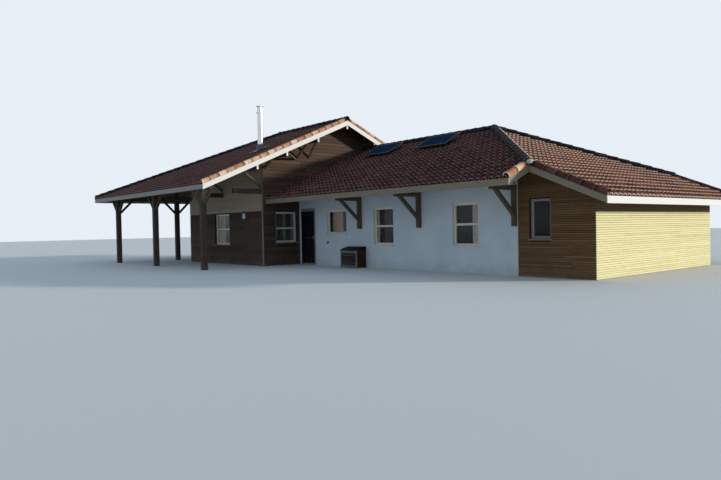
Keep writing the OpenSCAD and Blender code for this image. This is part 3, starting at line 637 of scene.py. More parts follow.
def wood_material(name, axis, dark, body, pale, roughness=0.75, contrast=1.0, splash=0.10, bump=0.3, tone=None):
    """Sawn wood with its grain along an axis; without a tone given, each board's own attribute is taken."""
    material, tree, surface = new_material(name, roughness)
    surface.inputs["Specular IOR Level"].default_value = 0.15
    here = object_place(tree)
    stretch = [1.0 if axis == i else 14.0 for i in range(3)]
    wood = place_group(tree, sawn_wood, {
        "Place": shader_node(tree, "Mapping", {"Vector": here, "Scale": stretch}).outputs[0],
        "Tone": attribute(tree, "tone") if tone is None else tone,
        "Dark": (*dark, 1), "Body": (*body, 1), "Pale": (*pale, 1), "Contrast": contrast})
    dusted = maths(tree, "MULTIPLY", place_group(tree, rain_splash, {"Place": here})["Mask"], splash)
    tree.links.new(mix_colours(tree, dusted, wood["Color"], (0.42, 0.38, 0.33, 1)), surface.inputs["Base Color"])
    bumped(tree, surface, wood["Height"], bump, 0.003)
    return material


def overlaid(material, mask, colour):
    """Lays one more colour over a material's own, where a mask made in its tree says."""
    tree = material.node_tree
    base = tree.nodes["Principled BSDF"].inputs["Base Color"]
    tree.links.new(mix_colours(tree, mask, base.links[0].from_socket, colour), base)


def dressed(names, material):
    for name in names:
        nodes[name].data.materials.clear()
        nodes[name].data.materials.append(material)


board_proud = (0.022, 0.012)  # at a board's low edge and at its high edge
board_run = (2.4, 4.2)
board_foot = 0.01


def board(bm, low, high, layer, shade):
    """One board in its wall's own frame: s along the wall, z up, and proud of it by its thickness."""
    made = bmesh.ops.create_cube(bm, size=1.0)["verts"]
    for vert in made:
        up = vert.co.z > 0
        proud = board_proud[up] if vert.co.y > 0 else 0.0005
        vert.co = Vector((high[0] if vert.co.x > 0 else low[0], proud, high[1] if up else low[1]))
    for face in {f for v in made for f in v.link_faces}:
        face[layer] = shade


def clad(name, corner, along, length, low, top, pitch, holes, material, roof=(), spread=0.12, gap=0.009):
    """Boards a wall in level courses, left open at its windows and cut to the roof above."""
    bm = bmesh.new()
    layer = bm.faces.layers.float.new("tone")
    z = low
    while z < top - 0.001:
        up = min(z + pitch - gap, top)
        stretches, s = [], 0.0
        for a, b in sorted((a, b) for a, b, c, d in holes if c < up and d > z):
            stretches.append((s, a))
            s = b
        for a, b in stretches + [(s, length)]:
            s = a
            while s < b - 0.002:
                e = s + noise.uniform(*board_run) * (0.5 if s == a else 1)
                e = b if b - e < 0.5 else e
                board(bm, (s + 0.0008, z), (e - 0.0008, up), layer, min(1, max(0, noise.gauss(0.5, spread))))
                s = e
        z += pitch
    out = Vector((along.y, -along.x, 0))
    bmesh.ops.transform(bm, matrix=axes_at(along, out, Z, corner), verts=bm.verts)
    bmesh.ops.reverse_faces(bm, faces=bm.faces)
    trimmed(bm, roof)
    piece = finish_piece(name, bm, material)


# Cladding of the low end: fine level boards of pale pine, nailed on battens round the three
# sides of the wing's timber-framed end.
timber_low, timber_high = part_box("front_wall_timber")
corner = Vector((timber_high.x, timber_low.y, 0))
wing_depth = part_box("back_wall_timber")[1].y - corner.y
timber_run = corner.x - timber_low.x
under = 0.182  # from the field tiles down to the underside of the rafters
wing_under = [(Vector((0, front_low.y, wing_eave - under)), Vector((0, -wing_slope, 1))),
              (Vector((0, back_high.y, wing_eave - under)), Vector((0, wing_slope, 1))),
              (Vector((end_high.x, 0, end_eave - under)), Vector((end_slope, 0, 1)))]
head_z = 2.135
sill_drop = 0.045
timber_window = (-1.618, 0.67, 1.045)  # place along the wall, width and sill
slat, slat_top, end_slat_top = 0.060, 3.3, 2.6

# One pine in two copies: the dark brown on the long sides is painted shade, the pale yellow on the end is painted
# light
pine = [(0.100, 0.050, 0.022), (0.190, 0.100, 0.042), (0.28, 0.155, 0.070)]
painted_sunlit_pine = [(0.60, 0.51, 0.25), (0.80, 0.745, 0.41), (0.86, 0.84, 0.53)]
pine_front = wood_material("pine_boards_along", 0, *pine, 0.7, 1.2)
pine_end = wood_material("pine_boards_across", 1, *painted_sunlit_pine, 0.7, 1.0)
# Painted shadow: under the low eave the end's boards are painted as dark as the long sides' boards, down to where the
# eave's shadow ends
tree = pine_end.node_tree
height = shader_node(tree, "SeparateXYZ", {0: object_place(tree)}).outputs["Z"]
overlaid(pine_end, ranged(tree, height, 1.722, 1.742, 0.0, 0.92), (0.13, 0.068, 0.030, 1))
backing = wood_material("dark_backing", 2, (0.03, 0.02, 0.015), (0.045, 0.03, 0.02), (0.06, 0.04, 0.03), 0.9,
                        tone=0.5)
dressed(["front_wall_timber", "end_wall", "back_wall_timber", "gable_wall_piers", "gable_wall_upper",
         "block_front_wall", "block_left_wall", "block_back_wall", "upper_boarding"], backing)

a = timber_run + timber_window[0] - timber_window[1] / 2
clad("front_pine_boards", corner - Vector((timber_run, 0, 0)), X, timber_run + 0.012, board_foot, slat_top, slat,
     [(a, a + timber_window[1], timber_window[2] - sill_drop, head_z)], pine_front, wing_under,
     spread=0.13, gap=0.012)
clad("end_pine_boards", corner + Vector((0, -0.022, 0)), Y, wing_depth + 0.044, board_foot, end_slat_top, slat,
     [], pine_end, wing_under, spread=0.10, gap=0.008)
a = -timber_window[0] - timber_window[1] / 2
clad("back_pine_boards", corner + Vector((0.012, wing_depth, 0)), -X, timber_run + 0.012, board_foot, slat_top, slat,
     [(a + 0.012, a + timber_window[1] + 0.012, timber_window[2] - sill_drop, head_z)], pine_front,
     wing_under, spread=0.13, gap=0.012)


# Cladding of the taller block: brown stained boards below, pale boards above a level
# joint, and brown boards over the whole gable, which also stands up over the wing's roof.
band_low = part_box("upper_boarding")[0]
gable_low, gable_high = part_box("gable_wall_upper")
gable_x, band_z = gable_high.x, band_low.z
block_under = [(Vector((0, block_low.y, block_eave - under)), Vector((0, -block_slope, 1))),
               (Vector((0, rear_eave_y, block_eave - under)), Vector((0, block_slope, 1))),
               (Vector((x_left, 0, block_eave - under)), Vector((-block_slope, 0, 1)))]
brown = [(0.035, 0.022, 0.015), (0.078, 0.046, 0.031), (0.12, 0.075, 0.050)]
pale = [(0.31, 0.240, 0.16), (0.46, 0.365, 0.255), (0.56, 0.47, 0.35)]
brown_along = wood_material("brown_boards_along", 0, *brown, 0.7, 1.0)
brown_across = wood_material("brown_boards_across", 1, *brown, 0.7, 1.0)
pale_along = wood_material("pale_boards_along", 0, *pale, 0.75, 0.8, splash=0.0)
pale_across = wood_material("pale_boards_across", 1, *pale, 0.75, 0.8, splash=0.0)
plank = 0.145
block_x0, block_y0, block_y1 = band_low.x, gable_low.y, gable_high.y
block_run, block_depth = gable_x - block_x0, block_y1 - block_y0
block_window = (-16.4, 1.33)  # place and width
gable_window = (-0.645, 1.0, 0.915)  # place, width and sill
left_windows = (0.4, 5.2)  # from the wing's front wall to each one's near side
sill_z = 0.825
plank_top = 6.2
trim_in, gable_trim_in = 0.095, 0.046


def block_hole(start):
    return start, start + block_window[1], sill_z - sill_drop, head_z


left_holes = [block_hole(block_y1 - (corner.y + y + block_window[1]) + 0.022) for y in left_windows]
for name, start, along, length, holes in (
        ("front", Vector((block_x0, block_y0, 0)), X, block_run - trim_in,
         [block_hole(corner.x + block_window[0] - block_window[1] / 2 - block_x0)]),
        ("back", Vector((gable_x - trim_in, block_y1, 0)), -X, block_run - trim_in,
         [block_hole(gable_x - (corner.x + block_window[0] + block_window[1] / 2) - trim_in)]),
        ("left", Vector((block_x0, block_y1 + 0.022, 0)), -Y, block_depth + 0.044, left_holes)):
    across = name == "left"
    clad("block_" + name + "_brown_boards", start, along, length, board_foot, band_z - 0.012, plank, holes,
         brown_across if across else brown_along)
    clad("block_" + name + "_pale_boards", start, along, length, band_z + 0.004, plank_top, plank, [],
         pale_across if across else pale_along, block_under, spread=0.07, gap=0.005)

# The gable: beside the wing it is boarded from the ground, over the wing from its tiles up
between = (Vector((0, front_low.y, wing_eave - 0.09)), Vector((0, -wing_slope, 1)))
between_back = (Vector((0, back_high.y, wing_eave - 0.09)), Vector((0, wing_slope, 1)))
gable_start = Vector((gable_x, block_y0 + gable_trim_in, 0))
wing_back_y = corner.y + wing_depth
over_tiles = board_foot + 14 * plank
a = corner.y + gable_window[0] - gable_window[1] / 2 - block_y0 - gable_trim_in
clad("gable_front_boards", gable_start, Y, corner.y - block_y0 - 0.05, board_foot, plank_top, plank,
     [(a, a + gable_window[1], gable_window[2] - sill_drop, head_z)], brown_across,
     block_under + [between])
clad("gable_boards_over_front_tiles", gable_start, Y, ridge_y - block_y0 - gable_trim_in, over_tiles, plank_top,
     plank, [], brown_across, block_under + [(between[0], -between[1])])
clad("gable_boards_over_back_tiles", Vector((gable_x, ridge_y, 0)), Y, block_y1 - ridge_y - gable_trim_in, over_tiles,
     plank_top, plank, [], brown_across, block_under + [(between_back[0], -between_back[1])])
clad("gable_back_boards", Vector((gable_x, wing_back_y, 0)), Y, block_y1 - wing_back_y - gable_trim_in, board_foot,
     2.4, plank, [], brown_across, block_under)


# Render: the wing's block walls carry a white lime render, floated by hand, a little stained
# by rain at its foot. The floor inside is bare concrete.
white_render, tree, surface = new_material("white_render", 0.92)
here = object_place(tree)
float_marks = mottle(tree, here, 1.1, 6.0, 0.55)
sand = mottle(tree, here, 160.0, 3.0, 0.7)
colour = mix_colours(tree, ranged(tree, float_marks, 0.3, 0.7), (0.64, 0.68, 0.71, 1), (0.75, 0.78, 0.80, 1))
stain = maths(tree, "MULTIPLY", place_group(tree, rain_splash, {"Place": here, "Reach": 0.30})["Mask"], 0.45)
tree.links.new(mix_colours(tree, stain, colour, (0.50, 0.49, 0.46, 1)), surface.inputs["Base Color"])
bumped(tree, surface, maths(tree, "ADD", sand, float_marks), 0.35, 0.004)
dressed(["front_wall_right_of_door", "front_wall_over_door", "front_wall_left_of_door", "back_wall_white"],
        white_render)
dressed(["floor_slabs"],
        mottled("floor_concrete", 0.85, 12.0, 6.0, (0.30, 0.29, 0.28), (0.52, 0.51, 0.49), rough=0.7))


# Painted boards: the eave boards, the sloping verge boards, the boards on the block's corners,
# the sills and the window frames, brushed with white, cream or grey paint. The dull and grey copies of the white are
# painted shade where boards and frames lie in shade.
white_paint = wood_material("white_painted_boards", 0, (0.60, 0.59, 0.57), (0.78, 0.77, 0.75), (0.85, 0.84, 0.83),
                            0.5, 0.5, splash=0.2, bump=0.12, tone=0.5)
dull_and_shade_paint = wood_material("dull_painted_boards", 0, (0.15, 0.120, 0.080), (0.24, 0.200, 0.138), (0.33, 0.28, 0.20),
                           0.6, 0.7, splash=0.0, bump=0.15, tone=0.5)
window_paint = wood_material("window_paint", 2, (0.56, 0.55, 0.52), (0.70, 0.69, 0.66), (0.80, 0.79, 0.76),
                             0.4, 0.4, splash=0.0, bump=0.1, tone=0.5)
cream_paint = wood_material("cream_window_paint", 2, (0.74, 0.65, 0.50), (0.90, 0.81, 0.64), (0.94, 0.87, 0.73),
                            0.4, 0.4, splash=0.0, bump=0.1, tone=0.5)
grey_shade_paint = wood_material("grey_painted_boards", 0, (0.20, 0.18, 0.155), (0.29, 0.265, 0.235), (0.38, 0.35, 0.31),
                           0.55, 0.6, splash=0.0, bump=0.12, tone=0.5)
stained_corner = wood_material("stained_corner_boards", 2, *brown, 0.7, 1.0, tone=0.5)


def centre(face):
    return face.calc_center_median()


def eased(name, node, materials, width, body="house", mark=None):
    """The CAD node with its sharp edges eased, as a plane or sandpaper leaves them."""
    bm = bmesh.new()
    bm.from_mesh(nodes[node].data)
    bmesh.ops.remove_doubles(bm, verts=bm.verts, dist=0.0003)
    bmesh.ops.dissolve_limit(bm, angle_limit=0.01, verts=bm.verts, edges=bm.edges)
    sharp = [e for e in bm.edges if len(e.link_faces) == 2 and e.is_convex and e.calc_face_angle() > 0.5]
    bmesh.ops.bevel(bm, geom=sharp, offset=width, offset_type="OFFSET", segments=2, profile=0.5,
                    affect="EDGES", material=-1, clamp_overlap=True)
    if mark:
        for face in bm.faces:
            face.material_index = int(mark(face))
    piece = finish_piece(name, bm, materials, body)
    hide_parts(node)


# Painted shade: the boards along the wing's long eaves and down the low end's verges are painted dull, the block's
# grey, standing in for white paint in shade; the rest stay white
eased("painted_eave_boards", "eave_boards", [white_paint, dull_and_shade_paint, grey_shade_paint], 0.004,
      mark=lambda face: 2 if centre(face).x < x_gable else centre(face).x < x_verge + 0.3)
eased("white_verge_boards", "bargeboards", [white_paint, dull_and_shade_paint], 0.004,
      mark=lambda face: centre(face).x > x_verge - 0.0005)
# The corner boards' narrow edges are dull white and their faces are stained like the boards beside them
eased("corner_board_timbers", "corner_boards", [dull_and_shade_paint, stained_corner], 0.004,
      mark=lambda face: face.normal.x > 0.5)
eased("white_sills", "window_sills", [white_paint, dull_and_shade_paint], 0.005,
      mark=lambda face: not x_gable + 0.3 < centre(face).x < corner.x - timber_run)


def frame_paint(face):
    """Frames are cream in the white wall and the block, white in the gable, and in the timber end white on faces
    towards the low end and grey on the rest, which is painted shade.
    """
    if abs(centre(face).x - gable_x) < 0.25:
        return 0
    if centre(face).x < corner.x - timber_run:
        return 1
    return 0 if face.normal.x > 0.5 else 2


eased("painted_window_frames", "window_frames", [window_paint, cream_paint, grey_shade_paint], 0.006,
      mark=frame_paint)


# Roof timber: dark weathered pine with eased edges. Purlins carry the open verges with their
# white painted ends, struts and brackets hold them, and posts carry the porch.
weathered = [(0.030, 0.022, 0.015), (0.075, 0.054, 0.037), (0.14, 0.105, 0.075)]
timber_x = wood_material("weathered_timber_along", 0, *weathered, 0.8, 1.4, tone=0.5, splash=0.0)
timber_z = wood_material("weathered_timber_upright", 2, *weathered, 0.8, 1.4, tone=0.5)
eased("porch_post_timbers", "porch_posts", timber_z, 0.012)
eased("porch_beam_timbers", "porch_beams", timber_x, 0.008)
eased("porch_brace_timbers", "porch_braces", timber_z, 0.007)
bracket_wood = wood_material("bracket_timber", 1, (0.066, 0.046, 0.027), (0.128, 0.090, 0.055), (0.20, 0.150, 0.100),
                             0.8, 1.4, tone=0.5, splash=0.0)
eased("bracket_timbers", "eave_brackets", bracket_wood, 0.007)
eased("verge_struts", "roof_struts", bracket_wood, 0.006)
eased("verge_purlins", "roof_purlins", [timber_x, white_paint], 0.006,
      mark=lambda face: centre(face).x > x_rake - 0.045)

# Boarding under the roofs: level joints between boards, across the fall of each plane
soffit = wood_material("soffit_boards", 0, (0.035, 0.020, 0.014), (0.080, 0.045, 0.030), (0.13, 0.08, 0.055),
                       0.8, 1.2, splash=0.0, tone=0.5)
tree = soffit.node_tree
spot = shader_node(tree, "SeparateXYZ", {0: object_place(tree)}).outputs
lean = shader_node(tree, "SeparateXYZ", {0: shader_node(tree, "NewGeometry").outputs["Normal"]}).outputs
steep = [maths(tree, "ABSOLUTE", lean[axis]) for axis in ("X", "Y")]
falls_along = maths(tree, "GREATER_THAN", *steep)
run = shader_node(tree, "Mix", {0: falls_along, 2: spot["Y"], 3: spot["X"]}).outputs[0]
joint = maths(tree, "ABSOLUTE", maths(tree, "MODULO", run, 0.12))
overlaid(soffit, maths(tree, "LESS_THAN", joint, 0.007), (0.012, 0.008, 0.006, 1))
dressed(["wing_decks", "block_decks"], soffit)


# Glass: clear panes in the frames, with the slight waves of drawn glass. The glass bends
# light less than real glass does, so that its reflections don't hide the curtains behind it.
window_glass, tree, surface = new_material("window_glass", 0.03)
surface.inputs["Base Color"].default_value = (0.90, 0.92, 0.91, 1)
surface.inputs["Transmission Weight"].default_value = 1.0
surface.inputs["IOR"].default_value = 1.18
bumped(tree, surface, mottle(tree, object_place(tree), 2.5, 1.0), 0.04, 0.01)
dressed(["window_panes"], window_glass)


# Curtains: pleated cotton sheets on slim steel rods that stand in the reveals behind the
# frames, gathered to one side or hung in the middle.
steel, tree, surface = new_material("brushed_steel", 0.32, 1.0)
surface.inputs["Base Color"].default_value = (0.66, 0.67, 0.69, 1)
brush = shader_node(tree, "Mapping", {"Vector": object_place(tree), "Scale": (90.0, 90.0, 3.0)}).outputs[0]
tree.links.new(ranged(tree, mottle(tree, brush, 2.0, 3.0), 0.3, 0.7, 0.22, 0.42), surface.inputs["Roughness"])


def cotton(name, body):
    material, tree, surface = new_material(name, 0.92)
    here = object_place(tree)
    slub = ranged(tree, mottle(tree, here, 9.0, 4.0), 0.35, 0.65)
    tree.links.new(mix_colours(tree, slub, [c * 0.82 for c in body] + [1], [*body, 1]), surface.inputs["Base Color"])
    surface.inputs["Sheen Weight"].default_value = 0.1
    bumped(tree, surface, mottle(tree, here, 420.0, 1.0), 0.3, 0.0006)
    return material


rose_cotton = cotton("rose_cotton", (0.52, 0.37, 0.28))
pale_cotton = cotton("pale_cotton", (0.66, 0.61, 0.53))
dull_cotton = cotton("dull_cotton", (0.21, 0.195, 0.17))
# Near-black cotton sheets stand in for the dark room seen behind the glass: painted shade
painted_shade_cotton = cotton("painted_shade_cotton", (0.055, 0.053, 0.045))


def tube(bm, start, finish, radius, sides=10):
    """A closed round bar between two points."""
    axis = finish - start
    place = Matrix.Translation((start + finish) / 2) @ axis.to_track_quat("Z", "Y").to_matrix().to_4x4()
    return bmesh.ops.create_cone(bm, cap_ends=True, segments=sides, radius1=radius, radius2=radius,
                                 depth=axis.length, matrix=place)["verts"]


def window_place(centre, along, width):
    """Frame of a window: s along the wall from the opening's left side, seen from outside, d into the house."""
    inward = Vector((-along.y, along.x, 0))
    start = centre - along * width / 2
    return lambda s, d, z: start + along * s + inward * d + Z * z


fold_pitch, fold_depth = 0.055, 0.017


def pleat(turn, drop):
    """How far a fold stands out from the curtain's middle line, and its sway; folds open out as they fall."""
    opening = fold_depth * (0.35 + 0.65 * drop)
    return opening * math.sin(turn + 0.8 * math.sin(0.37 * turn + 2 * drop)), 0.003 * math.sin(turn * 0.5 + 1)


def hang_curtains(name, centre, along, width, sill, sheets):
    place = window_place(centre, along, width)
    rod_z, depth = head_z - 0.035, 0.182
    bm = bmesh.new()
    tube(bm, place(0.003, depth, rod_z), place(width - 0.003, depth, rod_z), 0.006)
    for s in (0.004, width - 0.004):
        tube(bm, place(s - 0.003, depth, rod_z), place(s + 0.003, depth, rod_z), 0.014, 12)
    rod = finish_piece(name + "_rod", bm, steel, smooth=40)
    for number, (s0, s1, cloth) in enumerate(sheets):
        bm = bmesh.new()
        height = rod_z - sill - 0.02
        bmesh.ops.create_grid(bm, x_segments=max(10, round((s1 - s0) / fold_pitch * 8)), y_segments=12, size=0.5)
        for vert in bm.verts:
            across, drop = vert.co.x + 0.5, 0.5 - vert.co.y
            fold, sway = pleat(2 * math.pi * across * (s1 - s0) / fold_pitch, drop)
            # The folds die out at the sheet's two side hems
            hem = min(1.0, min(across, 1 - across) * (s1 - s0) / 0.02)
            vert.co = place(s0 + (s1 - s0) * across + sway * hem, depth + fold * hem, rod_z + 0.006 - height * drop)
        area = sum(face.calc_area() for face in bm.faces)
        sheet = finish_piece(name + "_sheet_" + str(number + 1), bm, cloth, smooth=80)


for name, x, width, sill, sheets in (
        ("high_window", -10.54, 1.20, 1.23,
         [(0.02, 0.179, painted_shade_cotton), (0.18, 0.799, rose_cotton), (0.80, 1.19, painted_shade_cotton)]),
        ("left_window", -7.905, 1.00, sill_z, [(0.01, 0.119, pale_cotton), (0.12, 0.99, painted_shade_cotton)]),
        ("right_window", -4.23, 1.01, sill_z,
         [(0.01, 0.649, painted_shade_cotton), (0.65, 0.889, pale_cotton), (0.89, 1.0, painted_shade_cotton)])):
    hang_curtains(name, corner + X * x, X, width, sill, sheets)
hang_curtains("block_window", Vector((corner.x + block_window[0], block_y0, 0)), X, block_window[1], sill_z,
              [(0.01, 0.609, pale_cotton), (0.61, 1.32, painted_shade_cotton)])
hang_curtains("gable_window", Vector((gable_x, corner.y + gable_window[0], 0)), Y, gable_window[1], gable_window[2],
              [(0.01, 0.439, painted_shade_cotton), (0.44, 0.589, dull_cotton), (0.59, 0.819, painted_shade_cotton),
               (0.82, 0.99, dull_cotton)])


# Front door: a near-black framed leaf with two boarded panels and three pale drip bars, in a
# frame painted grey for shade and black on its hinge side for the shade in its reveal, on steel butt hinges, with a
# lever handle on each face.
door_paint = wood_material("door_paint", 2, (0.003, 0.003, 0.006), (0.006, 0.006, 0.011), (0.012, 0.011, 0.018),
                           0.6, 0.6, splash=0.03, bump=0.25)
leaf_low, leaf_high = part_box("door_leaf")
# Painted shade: the hinge side of the frame is black for its shaded reveal, the rest grey
eased("painted_door_frame", "door_frame", [grey_shade_paint, door_paint], 0.004,
      mark=lambda face: centre(face).x < leaf_low.x + 0.03 and centre(face).z < leaf_high.z)
leaf_left = leaf_low.x + 0.012
leaf_right = leaf_high.x
leaf_front, leaf_back = leaf_low.y, leaf_low.y + 0.045
pin = Vector((leaf_low.x + 0.008, leaf_high.y - 0.008, 0))


def bevelled_box(bm, low, high, width=0.003, shade=0.5, material=0, place=Matrix()):
    made = bmesh.ops.create_cube(bm, size=1.0)["verts"]
    for vert in made:
        vert.co = place @ Vector(tuple(high[i] if vert.co[i] > 0 else low[i] for i in range(3)))
    edges = list({e for v in made for e in v.link_edges})
    tone = bm.faces.layers.float.get("tone")
    if width:
        made = bmesh.ops.bevel(bm, geom=edges, offset=width, offset_type="OFFSET", segments=1, profile=0.5,
                               affect="EDGES", material=-1)["verts"]
    for face in {f for v in made for f in v.link_faces}:
        if tone:
            face[tone] = shade
        face.material_index = material


bm = bmesh.new()
bm.faces.layers.float.new("tone")
stile = 0.105
rails = [(leaf_low.z, 0.25), (0.975, 1.085), (1.985, leaf_high.z)]
for x0, x1 in ((leaf_left, leaf_left + stile), (leaf_right - stile, leaf_right)):
    bevelled_box(bm, (x0, leaf_front, leaf_low.z), (x1, leaf_back, leaf_high.z), 0.004, noise.uniform(0.4, 0.6))
for z0, z1 in rails:
    bevelled_box(bm, (leaf_left + stile + 0.0006, leaf_front, z0),
                 (leaf_right - stile - 0.0006, leaf_back, z1), 0.004, noise.uniform(0.4, 0.6))
plank_count = 6
plank_width = (leaf_right - leaf_left - 2 * stile) / plank_count
for (_, z0), (z1, _) in zip(rails, rails[1:]):
    for i in range(plank_count):
        x0 = leaf_left + stile + i * plank_width
        bevelled_box(bm, (x0 + 0.0008, leaf_front + 0.013, z0 - 0.004),
                     (x0 + plank_width - 0.0008, leaf_back - 0.013, z1 + 0.004), 0.005, noise.uniform(0.3, 0.7))
piece = finish_piece("door_joinery", bm, door_paint, "door")
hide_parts("door_leaf")

bm = bmesh.new()
for z in (0.252, 1.087, 1.987):
    bevelled_box(bm, (leaf_left + 0.06, leaf_front - 0.010, z),
                 (leaf_right - 0.06, leaf_front + 0.002, z + 0.016), 0.004)
knuckles, knuckle = 5, 0.020
for bottom in (leaf_low.z + 0.18, (leaf_low.z + leaf_high.z) / 2, leaf_high.z - 0.28):
    for i in range(knuckles):
        z = bottom + knuckle * i
        tube(bm, pin + Z * (z + 0.0006), pin + Z * (z + 0.0194), 0.008, 14)
    for z in (bottom - 0.004, bottom + 0.1):
        tube(bm, pin + Z * z, pin + Z * (z + 0.004), 0.0055, 14)
    bevelled_box(bm, (pin.x, leaf_back - 0.0005, bottom), (pin.x + 0.07, leaf_back + 0.003, bottom + 0.1), 0.001)
piece = finish_piece("door_metal", bm, steel, "door", smooth=40)
eased("lever_handles", "door_handle", steel, 0.003, body="door")


# Flue: a polished steel pipe in sections with a clamp ring, a cowl and a side branch, which
# stands in a collar on a sheet of lead dressed into the tiles.
flue_low, flue_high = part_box("flue_pipe")
flue = Vector((flue_high.x - 0.15, (flue_low.y + flue_high.y) / 2, 0))
flue_top = flue_high.z


def turned(bm, profile, centre, steps=32):
    """A form of revolution from its outline, given as radius and height from bottom to top."""
    row = [bm.verts.new(centre + Vector((r, 0, z))) for r, z in profile]
    edges = [bm.edges.new(pair) for pair in zip(row, row[1:])]
    bmesh.ops.spin(bm, geom=row + edges, cent=centre, axis=Vector((0, 0, 1)), angle=2 * math.pi, steps=steps,
                   use_merge=True)
    bmesh.ops.remove_doubles(bm, verts=bm.verts, dist=0.00005)
    bmesh.ops.recalc_face_normals(bm, faces=bm.faces)


def bead(radius, z, rise=0.005, half=0.012):
    return [(radius, z - half), (radius + rise, z - half * 0.5), (radius + rise, z + half * 0.5), (radius, z + half)]


bm = bmesh.new()
pipe, cowl = 0.115, 0.086
outline = [(0.0, flue_low.z), (pipe - 0.004, flue_low.z), (pipe, flue_low.z + 0.004)]
for z in (flue_top - 1.62, flue_top - 0.98):
    outline += bead(pipe, z)
clamp_z = flue_top - 0.31
outline += [(pipe, clamp_z - 0.03), (pipe + 0.014, clamp_z - 0.026), (pipe + 0.014, clamp_z + 0.026),
            (pipe, clamp_z + 0.03), (pipe, flue_top - 0.085), (pipe - 0.006, flue_top - 0.080),
            (cowl, flue_top - 0.080), (cowl, flue_top - 0.030), (0.149, flue_top - 0.030),
            (0.1495, flue_top - 0.020), (0.120, flue_top - 0.012), (0.060, flue_top - 0.004), (0.0, flue_top - 0.001)]
turned(bm, outline, flue)
branch = [flue + Vector((-0.110, 0, flue_top - 0.24)), flue + Vector((-0.238, 0, flue_top - 0.24))]
tube(bm, branch[0], branch[1], 0.033, 20)
tube(bm, branch[1] + X * 0.012, branch[1] - X * 0.006, 0.035, 20)
for turn in (-1, 1):
    tube(bm, flue + Vector((0.135, 0.03 * turn, clamp_z)), flue + Vector((0.135, 0.004 * turn, clamp_z)), 0.007, 8)
piece = finish_piece("flue_sections", bm, steel, smooth=35)
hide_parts("flue_pipe")

lead = mottled("dressed_lead", 0.55, 6.0, 5.0, (0.035, 0.048, 0.070), (0.11, 0.13, 0.16), rough=0.65,
               span=(0.35, 0.65), bump=(0.3, 0.004))
lead_low, lead_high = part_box("flue_flashing")
bm = bmesh.new()
bmesh.ops.create_grid(bm, x_segments=48, y_segments=16, size=0.5)
middle = (lead_low + lead_high) / 2
for vert in bm.verts:
    x = middle.x + vert.co.x * (lead_high.x - lead_low.x - 0.004)
    y = middle.y + vert.co.y * (lead_high.y - lead_low.y - 0.004)
    near = max(0.0, 1 - (Vector((x, y, 0)) - flue).length / 0.30)
    wave = 0.009 * math.cos(2 * math.pi * (x - (x_left + x_rake) / 2 - 0.17 * tile_pitch) / tile_pitch) * (1 - near)
    plane = block_eave + block_slope * (y - block_low.y)
    vert.co = (x, y, plane + 0.013 + wave + 0.006 * near)
under_pipe = [f for f in bm.faces if (f.calc_center_median().xy - flue.xy).length < 0.125]
bmesh.ops.delete(bm, geom=under_pipe, context="FACES")
bmesh.ops.solidify(bm, geom=bm.faces[:], thickness=0.003)
plane = block_eave + block_slope * (flue.y - block_low.y)
turned(bm, [(0.172, plane - 0.05), (0.166, plane + 0.06), (0.140, plane + 0.165), (0.132, plane + 0.198),
            (0.122, plane + 0.198), (0.122, plane - 0.05), (0.172, plane - 0.05)], flue, 28)
piece = finish_piece("lead_flashing", bm, lead, smooth=40)
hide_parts("flue_flashing")


# Solar panels: two dark collectors in thin black frames, on wedge rails over the tiles, with
# the grid of their cells under the glass.
cells, tree, surface = new_material("collector_cells", 0.42)
# No specular: the cells' navy is their own dark blue with a painted reflection of a blue sky laid into it
surface.inputs["Specular IOR Level"].default_value = 0.0
grid_place = shader_node(tree, "SeparateXYZ", {0: shader_node(tree, "UVMap", uv_map="cells").outputs[0]}).outputs
lines = []
for axis in ("X", "Y"):
    lines.append(maths(tree, "LESS_THAN", maths(tree, "FRACT", grid_place[axis]), 0.035))
flake = shader_node(tree, "TexVoronoi", {"Vector": object_place(tree), "Scale": 26.0}).outputs["Color"]
flake = shader_node(tree, "SeparateColor", {0: flake}).outputs[0]
body = mix_colours(tree, flake, (0.007, 0.024, 0.046, 1), (0.013, 0.042, 0.080, 1))
tree.links.new(mix_colours(tree, maths(tree, "MAXIMUM", *lines), body, (0.05, 0.075, 0.11, 1)),
               surface.inputs["Base Color"])
dark_frame = mottled("anodised_frame", 0.55, 20.0, 3.0, (0.014, 0.016, 0.020), (0.030, 0.033, 0.038), metallic=0.2)

